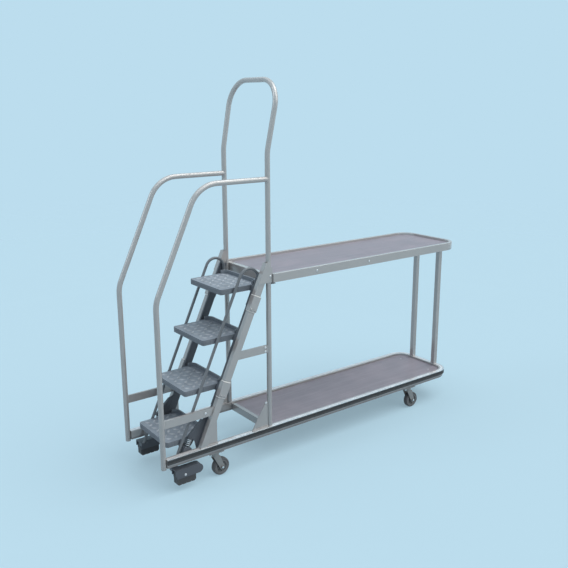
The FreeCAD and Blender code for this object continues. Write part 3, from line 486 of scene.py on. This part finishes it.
def edge_strip(tree, parts, end, half, radius, strip=0.019):
    """One within a strip inside a rounded outline, and zero further in."""
    wide = maths(tree, "ABSOLUTE", parts.outputs["Y"])
    past = []
    for place, limit in ((parts.outputs["X"], end), (wide, half)):
        past.append(maths(tree, "MAXIMUM", maths(tree, "SUBTRACT", place, limit - radius), 0.0))
    both = node(tree, "ShaderNodeCombineXYZ", {"X": past[0], "Y": past[1]}).outputs["Vector"]
    reach = node(tree, "ShaderNodeVectorMath", {0: both}, operation="LENGTH").outputs["Value"]
    return span(tree, reach, radius - strip, radius - strip * 0.85)


def rubbed_and_highlit(name, material, worn, height, every, depth, share, edge=None):
    """A copy of a finish whose upward faces at a height, and at each step above it, are painted lighter, as wear
    and as a painted highlight on those tops.

    An edge, as its end in X, its half-width and its corner radius, keeps that to a strip beside it.
    """
    made = material.copy()
    made.name = name
    tree = made.node_tree
    into, under = base_colour(made)
    where = object_place(tree)
    parts = node(tree, "ShaderNodeSeparateXYZ", {"Vector": where})
    above = maths(tree, "SUBTRACT", parts.outputs["Z"], height - depth)
    level = maths(tree, "LESS_THAN", maths(tree, "FLOORED_MODULO", above, every), depth * 1.6)
    normal = node(tree, "ShaderNodeNewGeometry").outputs["True Normal"]
    facing = node(tree, "ShaderNodeSeparateXYZ", {"Vector": normal})
    upward = span(tree, facing.outputs["Z"], 0.35, 0.8)
    patch = span(tree, noise(tree, where, 22.0, detail=5.0, rough=0.6), 0.3, 0.6, 0.45, 1.0)
    mask = product(tree, level, upward, patch, share)
    if edge:
        mask = product(tree, mask, edge_strip(tree, parts, *edge))
    feed(tree, into, mix_colour(tree, mask, under, rgba(worn)))
    return made


def painted_shade_below(material, height, depth, tint):
    """Paints shade into a finish below a height, darker over a depth, where less light reaches near the floor."""
    tree = material.node_tree
    into, under = base_colour(material)
    where = object_place(tree)
    parts = node(tree, "ShaderNodeSeparateXYZ", {"Vector": where})
    share = span(tree, parts.outputs["Z"], height, height - depth)
    patch = span(tree, noise(tree, where, 9.0, detail=4.0, rough=0.6), 0.3, 0.7, 0.7, 1.0)
    dark = mix_colour(tree, 1.0, under, rgba(tint), "MULTIPLY")
    feed(tree, into, mix_colour(tree, product(tree, share, patch), under, dark))


def nodes_of(slot):
    return [name for name, own in SLOTS.items() if own == slot]


def spread(nodes, material):
    """Gives a material to the named solids."""
    for name in nodes:
        NODES[name].data.materials.clear()
        NODES[name].data.materials.append(material)


def dress(slot, material):
    """Gives a material to all the solids of a slot."""
    spread(nodes_of(slot), material)


def soften(nodes, width):
    """Rounds the edges of plates and boxes a little."""
    for name in nodes:
        weld = NODES[name].modifiers.new("Join faces", "WELD")
        weld.merge_threshold = JOIN_GAP
        edge = NODES[name].modifiers.new("Soft edges", "BEVEL")
        edge.width = width
        edge.segments = 2
        edge.limit_method = "ANGLE"
        edge.angle_limit = ROUND_ANGLE
        edge.use_clamp_overlap = True
        edge.harden_normals = True
        edge.miter_outer = "MITER_ARC"


# Mesh making

SIX = "six-sided"


def show(made):
    """Links a new object to the scene."""
    bpy.context.scene.collection.objects.link(made)


def mesh_piece(name, points, faces, material, body, slot, smooth=True):
    """A new object from points and faces, riding on a body."""
    mesh = bpy.data.meshes.new(name)
    mesh.from_pydata([tuple(p) for p in points], [], faces)
    mesh.validate()
    shell = bmesh.new()
    shell.from_mesh(mesh)
    bmesh.ops.recalc_face_normals(shell, faces=shell.faces)
    shell.to_mesh(mesh)
    shell.free()
    mesh.materials.append(material)
    if smooth:
        mesh.shade_smooth()
        mesh.set_sharp_from_angle(angle=SHARP_ANGLE)
    piece = bpy.data.objects.new(name, mesh)
    show(piece)
    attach(piece, body)
    return piece


def axes_on(axis):
    """Two directions across an axis, and the axis itself."""
    turn = Vector(axis).normalized().to_track_quat("Z", "Y").to_matrix()
    return [column.copy() for column in turn.col]


def hex_reach(angle):
    """How far a hexagon of unit half-width reaches at an angle."""
    return 1.0 / math.cos((angle + math.pi / 6) % (math.pi / 3) - math.pi / 6)


def around(centre, first, second, radius, count, six=False):
    """Points round a centre in the plane of two directions, on a circle or a hexagon."""
    points = []
    for step in range(count):
        angle = 2 * math.pi * step / count
        reach = radius * (hex_reach(angle) if six else 1.0)
        points.append(centre + (first * math.cos(angle) + second * math.sin(angle)) * reach)
    return points


def skinned(rings):
    """Points and faces of a closed form over a row of rings."""
    count = len(rings[0])
    points = [point for ring in rings for point in ring]
    last = len(points) - count
    faces = []
    for a in range(0, last, count):
        b = a + count
        for step in range(count):
            after = (step + 1) % count
            faces.append((a + step, a + after, b + after, b + step))
    faces.append(tuple(reversed(range(count))))
    faces.append(tuple(range(last, last + count)))
    return points, faces


def turned(profile, place, axis, segments=24):
    """A turned form from rows of a radius and a height, with a third value where the ring is six-sided."""
    first, second, up = axes_on(axis)
    rings = []
    for radius, height, *six in profile:
        rings.append(around(Vector(place) + up * height, first, second, radius, segments, six))
    return skinned(rings)


def gather(parts):
    """Several point and face lists as one."""
    points = []
    faces = []
    for more_points, more_faces in parts:
        start = len(points)
        points += more_points
        faces += [tuple(start + index for index in face) for face in more_faces]
    return points, faces


def loose_solids(name):
    """The box of each separate solid in a node."""
    mesh = NODES[name].data
    parent = list(range(len(mesh.vertices)))

    def root(index):
        while parent[index] != index:
            parent[index] = parent[parent[index]]
            index = parent[index]
        return index

    seen = {}
    for vertex in mesh.vertices:
        key = tuple(round(part, 5) for part in vertex.co)
        parent[vertex.index] = seen.setdefault(key, vertex.index)
    for edge in mesh.edges:
        parent[root(edge.vertices[0])] = root(edge.vertices[1])
    groups = {}
    for vertex in mesh.vertices:
        groups.setdefault(root(vertex.index), []).append(vertex.co)
    boxes = []
    for group in groups.values():
        boxes.append([Vector([pick(part) for part in zip(*group)]) for pick in (min, max)])
    return boxes


def heading(points, index):
    """The direction of a line of points at one of them."""
    return points[min(index + 1, len(points) - 1)] - points[max(index - 1, 0)]


def bead(points, radius):
    """A rippled weld bead along a line of points, thin at both ends."""
    rings = []
    for index, point in enumerate(points):
        first, second, _ = axes_on(heading(points, index))
        ripple = radius * (1.0 + RIPPLE * math.sin(index * RIPPLE_TURN))
        if index in (0, len(points) - 1):
            ripple *= BEAD_END
        rings.append(around(point, first, second, ripple, BEAD_RING))
    return skinned(rings)


def along(start, finish):
    """Points from one end to the other, a ripple apart."""
    start = Vector(start)
    finish = Vector(finish)
    count = max(2, int((finish - start).length / BEAD_STEP))
    return [start.lerp(finish, index / count) for index in range(count + 1)]


def circle(centre, axis, radius, spacing):
    """Points round a circle, about a spacing apart."""
    first, second, _ = axes_on(axis)
    return around(Vector(centre), first, second, radius, int(2 * math.pi * radius / spacing))


# Operators

def groups_of(context):
    """The values of the finishes and the sizes."""
    return context.scene.trolley_finish, context.scene.trolley_sizes


class TROLLEY_OT_paint_frame(bpy.types.Operator):
    """Paint the frame, hoop, handrails, shelf edge and sleeves"""

    bl_idname = "trolley.paint_frame"
    bl_label = "Paint the frame"

    def execute(self, context):
        finish, sizes = groups_of(context)
        coat = frame_coat(finish)
        dress("frame_paint", coat)
        low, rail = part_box("deck_rail")
        # The rail's top edge strip is painted lighter, as wear and as a painted highlight
        worn = {"depth": RAIL_HIGHLIGHT_DEPTH, "share": 0.95, "edge": (rail.x, rail.y, RAIL_CORNER)}
        rail_coat = rubbed_and_highlit("Rail coat with painted highlight and shade", coat, finish.rail_highlight, rail.z, rail.z * 2, **worn)
        # Painted shade along the rail's lower edge, which stands in shadow
        painted_shade_below(rail_coat, low.z + RAIL_SHADE_HEIGHT, RAIL_SHADE_DEPTH, RAIL_SHADE_TINT)
        spread(["deck_rail"], rail_coat)
        soften([name for name in nodes_of("frame_paint") if name.startswith(PLATES)], sizes.edge_round)
        soften(["deck_rail", "shelf_frame"], sizes.edge_round * 2)
        return {"FINISHED"}


class TROLLEY_OT_finish_deck(bpy.types.Operator):
    """Finish the boards and the bumper round the deck"""

    bl_idname = "trolley.finish_deck"
    bl_label = "Finish the deck"

    def execute(self, context):
        finish, sizes = groups_of(context)
        rubber = moulded("Bumper rubber", finish.bumper_black, rough=0.55, grain=0.0009, dust=0.3)
        dress("deck_panel", deck_film_material(finish.deck_film))
        dress("bumper_rubber", rubber)
        dress("bright_edge", bare_metal("Bumper edge", finish.edge_bright, metallic=0.85))
        soften(["bumper_strip"], sizes.edge_round * 3)
        soften(["deck_board", "shelf_board", "bumper_lip"], sizes.edge_round * 0.7)
        return {"FINISHED"}


class TROLLEY_OT_finish_ladder(bpy.types.Operator):
    """Finish the steps, the ladder's stringers and rods, the liners and the feet"""

    bl_idname = "trolley.finish_ladder"
    bl_label = "Finish the ladder"

    def execute(self, context):
        finish, sizes = groups_of(context)
        values = {"rough": 0.5, "grain": 0.0016, "dust": 0.34, "strength": 0.3, "wear": finish.wear}
        step = moulded("Step plastic", finish.step_slate, **values)
        dress("tread_plastic", self.trodden_and_highlit(finish, step))
        black = painted("Ladder black", finish.ladder_black, (0.2, 0.21, 0.22), finish.wear, rough=0.42)
        dress("black_paint", black)
        dress("rod_steel", painted("Rod paint", finish.rod_grey, (0.4, 0.41, 0.42), finish.wear, rough=0.3))
        dress("liner_nylon", moulded("Liner nylon", finish.liner_white, rough=0.4, grain=0.0008, dust=0.1))
        tone = toned(finish.bumper_black, 1.35)
        pad = moulded("Pad rubber", tone, rough=0.62, grain=0.0012, dust=0.4, strength=0.4)
        dress("pad_rubber", pad)
        soften(nodes_of("tread_plastic"), sizes.edge_round * 1.6)
        soften(nodes_of("black_paint") + nodes_of("pad_rubber"), sizes.edge_round)
        self.skirt_ribs(sizes, step)
        return {"FINISHED"}

    def trodden_and_highlit(self, finish, step):
        """The steps' plastic, rubbed by shoes on its flat and more on the grips, and painted lighter there also as
        a highlight on those upward faces.
        """
        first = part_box("tread_1")[1].z
        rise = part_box("tread_2")[1].z - first
        flat = first - CURB
        rubs_and_highlights = (
            ("Highlit trodden step plastic", toned(finish.step_slate, 1.8), flat),
            ("Highlit worn step plastic", finish.step_worn_highlight, flat + GRIP),
        )
        for name, tone, height in rubs_and_highlights:
            step = rubbed_and_highlit(name, step, tone, height, rise, depth=GRIP * 0.7, share=0.8)
        return step

    def skirt_ribs(self, sizes, material):
        """Upright ribs on the front and the free sides of each step's skirt."""
        held = loose_solids("tread_brackets")
        parts = []
        for name in nodes_of("tread_plastic"):
            low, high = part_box(name)
            for centre, out, run in self.skirt_faces(low, high):
                across = out.cross(Vector((0, 0, 1)))
                count = int(run / sizes.rib_pitch)
                for step in range(count + 1):
                    place = centre + across * (step - count / 2) * sizes.rib_pitch
                    if not any(self.beside(place, box) for box in held):
                        parts.append(self.rib(place, out, across, sizes.rib_pitch * RIB_SHARE))
        mesh_piece("step_ribs", *gather(parts), material, "ladder", "tread_plastic", False)

    def skirt_faces(self, low, high):
        """The middle, the outward direction and the ribbed length of a skirt's front and sides."""
        size = high - low
        middle = (low + high) / 2
        level = low.z + RIB_TALL / 2 + RIB_GAP
        front = Vector((low.x, middle.y, level))
        faces = [(front, Vector((-1, 0, 0)), size.y - FRONT_MARGIN)]
        for y, sign in ((low.y, -1), (high.y, 1)):
            side = Vector((middle.x - SIDE_SHIFT, y, level))
            faces.append((side, Vector((0, sign, 0)), size.x - SIDE_MARGIN))
        return faces

    def beside(self, place, box):
        """Whether a place is in a box or close to it."""
        low, high = box
        return all(low[axis] - RIB_ROOM < place[axis] < high[axis] + RIB_ROOM for axis in range(3))

    def rib(self, place, out, across, width):
        """One rib with sloping sides, let a little into the skirt."""
        rings = []
        for shrink, reach in ((0.0, -RIB_SUNK), (RIB_SLOPE, RIB_PROUD)):
            side = across * (width / 2 - shrink)
            rise = Vector((0, 0, RIB_TALL / 2 - shrink))
            foot = place + out * reach - rise
            head = place + out * reach + rise
            rings.append([foot - side, foot + side, head + side, head - side])
        return skinned(rings)


class TROLLEY_OT_wind_springs(bpy.types.Operator):
    """Wind the springs that hold the ladder up, with closed ends"""

    bl_idname = "trolley.wind_springs"
    bl_label = "Wind the springs"

    def execute(self, context):
        finish, sizes = groups_of(context)
        steel = bare_metal("Spring steel", finish.bolt_bright, along=(90.0, 90.0, 90.0))
        for side in SIDES:
            old = "ladder_spring_" + side
            low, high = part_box(old)
            middle = (low + high) / 2
            points, faces = self.wire(sizes, middle)
            piece = mesh_piece("spring_coil_" + side, points, faces, steel, "frame", "spring_steel")
            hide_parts(old)
            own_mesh(piece)
        return {"FINISHED"}

    def wire(self, sizes, middle):
        """The wire's points and faces: a closed turn at each end and open turns between."""
        radius = (sizes.spring_width - sizes.spring_wire) / 2
        room = sizes.spring_length - sizes.spring_wire
        closed = sizes.spring_wire * CLOSED_PITCH
        open_pitch = (room - 2 * closed) / sizes.spring_turns
        first, second, up = axes_on(UP_SLOPE)
        height = -room / 2
        line = []
        outs = []
        for step in range((sizes.spring_turns + 2) * WIRE_STEPS + 1):
            angle = 2 * math.pi * step / WIRE_STEPS
            outs.append(first * math.cos(angle) + second * math.sin(angle))
            line.append(middle + outs[-1] * radius + up * height)
            inside = WIRE_STEPS <= step < (sizes.spring_turns + 1) * WIRE_STEPS
            height += (open_pitch if inside else closed) / WIRE_STEPS
        rings = []
        for index, (point, out) in enumerate(zip(line, outs)):
            side = heading(line, index).normalized().cross(out)
            rings.append(around(point, out, side, sizes.spring_wire / 2, WIRE_RING))
        return skinned(rings)


class TROLLEY_OT_finish_casters(bpy.types.Operator):
    """Finish the casters and add their nuts, washers and hub ribs"""

    bl_idname = "trolley.finish_casters"
    bl_label = "Finish the casters"

    def execute(self, context):
        finish, sizes = groups_of(context)
        bright = bare_metal("Caster nuts", finish.bolt_bright, along=(120.0, 120.0, 120.0))
        cover = moulded("Hub cover", toned(finish.wheel_grey, 0.7), rough=0.45, grain=0.0009, dust=0.2)
        dress("zinc_plate", bare_metal("Caster zinc", finish.zinc, along=(60.0, 60.0, 60.0), metallic=0.45))
        dress("wheel_plastic", moulded("Wheel plastic", finish.wheel_grey, rough=0.45, grain=0.001, dust=0.3))
        dress("wheel_rubber", moulded("Tyre rubber", finish.tyre_grey, rough=0.6, grain=0.0008, dust=0.45))
        soften(["caster_plates"], sizes.edge_round * 0.6)
        soften(["caster_fork_" + place for place in CASTERS], sizes.edge_round)
        self.plate_nuts(sizes, bright)
        for place in CASTERS:
            self.axle_ends(place, bright)
            self.hub_ribs(place, cover)
        return {"FINISHED"}

    def plate_nuts(self, sizes, material):
        """Washers and nuts under the corners of each caster plate."""
        half = sizes.nut_width / 2
        washer = ((0.0078, 0.0), (0.0078, 0.0011), (0.0074, 0.0014))
        nut = (
            (half, 0.001, SIX), (half, 0.0062, SIX), (half * 0.9, 0.0070),
            (half * 0.52, 0.0070), (half * 0.52, 0.0095), (half * 0.44, 0.0101),
        )
        parts = []
        for low, high in loose_solids("caster_plates"):
            under = high.z - NUT_DROP
            for x in (low.x + NUT_INSET_X, high.x - NUT_INSET_X):
                for y in (low.y + NUT_INSET_Y, high.y - NUT_INSET_Y):
                    parts += [turned(form, (x, y, under), (0, 0, -1)) for form in (washer, nut)]
        mesh_piece("caster_plate_nuts", *gather(parts), material, "frame", "bolt_steel")

    def axle_ends(self, place, material):
        """A domed nut on each end of the axle."""
        dome = (
            (0.0086, -0.004, SIX), (0.0086, -0.0006, SIX), (0.0082, 0.0),
            (0.0062, 0.0), (0.0056, 0.0012), (0.0036, 0.0022), (0.0012, 0.0026),
        )
        low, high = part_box("caster_fork_" + place)
        wheel_low, wheel_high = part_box("caster_wheel_" + place)
        centre = (wheel_low + wheel_high) / 2
        ends = ((-1, low.y), (1, high.y))
        parts = [turned(dome, (centre.x, y, centre.z), (0, side, 0)) for side, y in ends]
        mesh_piece("axle_nuts_" + place, *gather(parts), material, "fork_" + place, "bolt_steel")

    def hub_ribs(self, place, material):
        """Ribs like spokes on each face of the wheel centre."""
        low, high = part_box("caster_wheel_" + place)
        centre = (low + high) / 2
        parts = []
        for side in (-1, 1):
            lift = Vector((0, side, 0))
            web = centre + lift * HUB_FACE
            for step in range(HUB_RIBS):
                angle = 2 * math.pi * step / HUB_RIBS
                out = Vector((math.cos(angle), 0, math.sin(angle)))
                across = Vector((-math.sin(angle), 0, math.cos(angle))) * HUB_RIB_HALF
                crown = across * HUB_RIB_CREST
                ends = []
                for reach, height in HUB_RIB_ENDS:
                    foot = web + out * reach
                    crest = foot + lift * height
                    ends.append([foot - across, foot + across, crest + crown, crest - crown])
                parts.append(skinned(ends))
        mesh_piece("hub_ribs_" + place, *gather(parts), material, "wheel_" + place, "wheel_plastic", False)


class TROLLEY_OT_set_fasteners(bpy.types.Operator):
    """Set socket-headed bolts with washers where the bolt heads stand"""

    bl_idname = "trolley.set_fasteners"
    bl_label = "Set the fasteners"

    def execute(self, context):
        finish = context.scene.trolley_finish
        bright = bare_metal("Bolt plating", finish.bolt_bright, along=(150.0, 150.0, 150.0), metallic=0.55)
        rail_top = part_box("deck_rail")[1].z
        for old, body in (("frame_bolts", "frame"), ("ladder_bolts", "ladder")):
            parts = []
            for low, high in loose_solids(old):
                parts += self.bolt(low, high)
            piece = mesh_piece("socket_" + old, *gather(parts), bright, body, "bolt_steel")
            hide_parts(old)
            if body == "ladder":
                self.paint_above(piece, rail_top, frame_coat(finish))
        return {"FINISHED"}

    def paint_above(self, piece, height, coat):
        """The bolts on the sleeves are painted with the frame, and those on the feet stay bright."""
        piece.data.materials.append(coat)
        for face in piece.data.polygons:
            face.material_index = int(face.center.z > height)

    def bolt(self, low, high):
        """A washer and a domed head with a six-sided socket, in the box of a plain head."""
        size = high - low
        axis = min(range(3), key=lambda index: size[index])
        face = (low + high) / 2
        sign = 1 if axis == 2 or face[axis] > 0 else -1
        face[axis] = low[axis] if sign > 0 else high[axis]
        out = Vector((0, 0, 0))
        out[axis] = sign
        radius = max(size) / 2
        height = size[axis]
        head = radius * 0.8
        washer = ((radius, 0.0), (radius, 0.0009), (radius * 0.96, 0.0012))
        dome = (
            (head, 0.0008), (head, height * 0.45), (head * 0.9, height * 0.72),
            (head * 0.72, height * 0.92), (head * 0.52, height),
            (head * 0.4, height, SIX), (head * 0.38, height * 0.45, SIX),
        )
        return [turned(washer, face, out), turned(dome, face, out)]


class TROLLEY_OT_lay_welds(bpy.types.Operator):
    """Lay weld beads where the frame's tubes and bars meet"""

    bl_idname = "trolley.lay_welds"
    bl_label = "Lay the welds"

    def execute(self, context):
        finish, sizes = groups_of(context)
        tone = toned(finish.frame_grey, 0.97)
        coat = painted("Weld coat", tone, FRAME_BARE, wear=0.3, rough=0.3, dust=0.06, metallic=0.32)
        parts = [bead(line, sizes.weld_bead / 2) for line in self.lines()]
        mesh_piece("weld_beads", *gather(parts), coat, "frame", "frame_paint")
        return {"FINISHED"}

    def lines(self):
        """The seams on both sides: hoop feet, handrail ends, bars, rear posts and stringer feet."""
        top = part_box("deck_rail")[1].z
        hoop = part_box("push_hoop")[0]
        found = []
        for side, sign in SIDES.items():
            low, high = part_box("handrail_" + side)
            tube = (high.y - low.y) / 2
            post = Vector((hoop.x + tube, (low.y + high.y) / 2, top))
            foot = circle(post + Vector((0, 0, HOOP_LIFT)), (0, 0, 1), tube - TUBE_SINK, BEAD_STEP)
            found.append(foot + foot[:1])
            found.append(self.saddle(post.x, post.y, high.z - tube, tube))
            for name, x, bend in (("brace_", low.x + tube, 1), ("tie_bar_", post.x, -1)):
                found += self.bar_ends(*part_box(name + side), x, post.y, bend, tube)
            found += self.post_ends(*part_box("rear_post_" + side))
            found += self.stringer_foot(*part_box("stringer_" + side), sign, top)
        return found

    def saddle(self, x, y, level, tube):
        """Where a handrail's end meets the round of the hoop."""
        points = []
        for step in range(SADDLE_STEPS + 1):
            angle = 2 * math.pi * step / SADDLE_STEPS
            across = tube * SADDLE_SHARE * math.sin(angle)
            inward = math.sqrt(tube ** 2 - across ** 2) + POST_GAP
            points.append(Vector((x - inward, y + across, level + tube * math.cos(angle))))
        return points

    def bar_ends(self, low, high, x, middle, bend, tube):
        """Where a bar's two faces meet the round of an upright."""
        seams = []
        for y in (low.y, high.y):
            reach = x + bend * math.sqrt(max(0.0, tube ** 2 - (y - middle) ** 2))
            seams.append(along((reach, y, low.z + BAR_INSET), (reach, y, high.z - BAR_INSET)))
        return seams

    def post_ends(self, low, high):
        """Round a rear post at its foot and its head."""
        seams = []
        for z in (low.z + POST_GAP, high.z - POST_GAP):
            corners = [(low.x, low.y, z), (high.x, low.y, z), (high.x, high.y, z), (low.x, high.y, z)]
            seams += [along(a, b) for a, b in zip(corners, corners[1:] + corners[:1])]
        return seams

    def stringer_foot(self, low, high, sign, top):
        """Along the outer face and the front of a stringer's foot."""
        z = top + STRINGER_LIFT
        outer = (high.y if sign > 0 else low.y) - sign * STRINGER_SINK
        front = low.x - STRINGER_GAP
        return [
            along((low.x + STRINGER_INSET, outer, z), (low.x + STRINGER_SEAM, outer, z)),
            along((front, low.y + STRINGER_INSET, z), (front, high.y - STRINGER_INSET, z)),
        ]


class TROLLEY_OT_set_stage(bpy.types.Operator):
    """Set the floor, the soft light and the camera"""

    bl_idname = "trolley.set_stage"
    bl_label = "Set the stage"

    def execute(self, context):
        stage = context.scene.trolley_stage
        context.scene.view_settings.view_transform = "Standard"
        self.floor(stage)
        self.sky(context, stage)
        # Each with its place, its spread in degrees, its strength and its tint
        lamps = (
            ("Key light", (2.4, -0.4, 4.2), 32.0, stage.key_power, WHITE),
            ("Front light", (-0.5, -1.7, 4.4), 50.0, stage.key_power, WHITE),
            ("Back light", (-0.4, 2.6, 4.2), 50.0, stage.key_power * BACK_SHARE, WHITE),
            ("Fill light", (2.2, -2.6, 3.0), 60.0, stage.fill_power, WARM),
            ("Rim light", (-3.2, 1.2, 2.0), 26.0, stage.rim_power, COOL),
        )
        for row in lamps:
            self.lamp(*row)
        self.camera(context, stage)
        return {"FINISHED"}

    def floor(self, stage):
        """A wide round floor that fades out far from the trolley."""
        rim = circle((0, 0, 0), (0, 0, 1), FLOOR_RADIUS, FLOOR_STEP)
        mesh = bpy.data.meshes.new("studio_floor")
        mesh.from_pydata([tuple(p) for p in rim], [], [tuple(range(len(rim)))])
        material, tree, shader = new_material("Studio floor")
        where = object_place(tree)
        seen = self.seen_rays(tree)
        cloud = span(tree, noise(tree, where, 0.6, detail=2.0), 0.3, 0.7)
        tone = mix_colour(tree, cloud, rgba(stage.floor, 0.99), rgba(stage.floor))
        feed(tree, shader.inputs["Base Color"], mix_colour(tree, seen, rgba(FLOOR_BOUNCE), tone))
        shader.inputs["Roughness"].default_value = 0.9
        shader.inputs["Specular IOR Level"].default_value = 0.1
        glow = node(tree, "ShaderNodeEmission", {"Color": rgba(stage.floor), "Strength": 1.0})
        lifted = {0: product(tree, seen, stage.lift), 1: shader.outputs["BSDF"], 2: glow.outputs["Emission"]}
        lift = node(tree, "ShaderNodeMixShader", lifted)
        away = node(tree, "ShaderNodeVectorMath", {0: where}, operation="LENGTH").outputs["Value"]
        clear = node(tree, "ShaderNodeBsdfTransparent").outputs["BSDF"]
        faded = {0: span(tree, away, *FLOOR_FADE), 1: lift.outputs["Shader"], 2: clear}
        blend = node(tree, "ShaderNodeMixShader", faded)
        feed(tree, tree.nodes["Material Output"].inputs["Surface"], blend.outputs["Shader"])
        mesh.materials.append(material)
        floor = bpy.data.objects.new("studio_floor", mesh)
        show(floor)

    def seen_rays(self, tree):
        """One for rays from the camera, from a shiny face or through glass."""
        path = node(tree, "ShaderNodeLightPath").outputs
        shiny = maths(tree, "MAXIMUM", path["Is Glossy Ray"], path["Is Transmission Ray"])
        return maths(tree, "MAXIMUM", path["Is Camera Ray"], shiny)

    def sky(self, context, stage):
        """Light all round that grows towards overhead, behind a plain backdrop."""
        world = bpy.data.worlds.new("Studio")
        world.use_nodes = True
        tree = world.node_tree
        way = node(tree, "ShaderNodeTexCoord").outputs["Generated"]
        rise = node(tree, "ShaderNodeSeparateXYZ", {"Vector": way}).outputs["Z"]
        gain = maths(tree, "MULTIPLY", maths(tree, "MAXIMUM", rise, 0.0), stage.zenith)
        even = tree.nodes["Background"]
        even.inputs["Color"].default_value = rgba(COOL)
        feed(tree, even.inputs["Strength"], maths(tree, "ADD", gain, stage.sky))
        seen = node(tree, "ShaderNodeBackground", {"Color": rgba(BACKDROP), "Strength": 1.0})
        shared = {0: self.seen_rays(tree), 1: even.outputs["Background"], 2: seen.outputs["Background"]}
        blend = node(tree, "ShaderNodeMixShader", shared)
        feed(tree, tree.nodes["World Output"].inputs["Surface"], blend.outputs["Shader"])
        context.scene.world = world

    def lamp(self, name, place, degrees, power, tint):
        """A soft distant light from a place towards the origin."""
        data = bpy.data.lights.new(name, "SUN")
        data.angle = math.radians(degrees)
        data.energy = power
        data.color = tint
        lamp = bpy.data.objects.new(name, data)
        lamp.location = place
        lamp.rotation_euler = (-Vector(place)).to_track_quat("-Z", "Y").to_euler()
        show(lamp)

    def camera(self, context, stage):
        """The camera at its place, turned by its yaw, its pitch and a slight roll."""
        data = bpy.data.cameras.new("Camera")
        data.lens = stage.lens
        camera = bpy.data.objects.new("Camera", data)
        place = Matrix.Translation(CAMERA_PLACE)
        for angle, axis in ((-CAMERA_YAW, "Z"), (math.pi / 2 - CAMERA_PITCH, "X"), (-CAMERA_ROLL, "Z")):
            place = place @ Matrix.Rotation(angle, 4, axis)
        camera.matrix_world = place
        show(camera)
        context.scene.camera = camera


class TROLLEY_PT_panel(bpy.types.Panel):
    """Buttons and values for the trolley"""

    bl_idname = "TROLLEY_PT_panel"
    bl_label = "Order picking trolley"
    bl_space_type = "VIEW_3D"
    bl_region_type = "UI"
    bl_category = "Trolley"

    def draw(self, context):
        for operator in OPERATORS:
            self.layout.operator(operator.bl_idname)
        for name in GROUPS:
            group = getattr(context.scene, name)
            box = self.layout.box()
            for value in group.__annotations__:
                box.prop(group, value)


OPERATORS = (
    TROLLEY_OT_paint_frame,
    TROLLEY_OT_finish_deck,
    TROLLEY_OT_finish_ladder,
    TROLLEY_OT_wind_springs,
    TROLLEY_OT_finish_casters,
    TROLLEY_OT_set_fasteners,
    TROLLEY_OT_lay_welds,
    TROLLEY_OT_set_stage,
)
GROUPS = {"trolley_finish": TrolleyFinish, "trolley_sizes": TrolleySizes, "trolley_stage": TrolleyStage}


def register():
    for name, group in GROUPS.items():
        bpy.utils.register_class(group)
        setattr(bpy.types.Scene, name, PointerProperty(type=group))
    for operator in OPERATORS:
        bpy.utils.register_class(operator)
    bpy.utils.register_class(TROLLEY_PT_panel)


def unregister():
    bpy.utils.unregister_class(TROLLEY_PT_panel)
    for operator in reversed(OPERATORS):
        bpy.utils.unregister_class(operator)
    for name, group in GROUPS.items():
        delattr(bpy.types.Scene, name)
        bpy.utils.unregister_class(group)


def main():
    register()
    for operator in OPERATORS:
        category, name = operator.bl_idname.split(".")
        getattr(getattr(bpy.ops, category), name)()


if __name__ == "__main__":
    main()
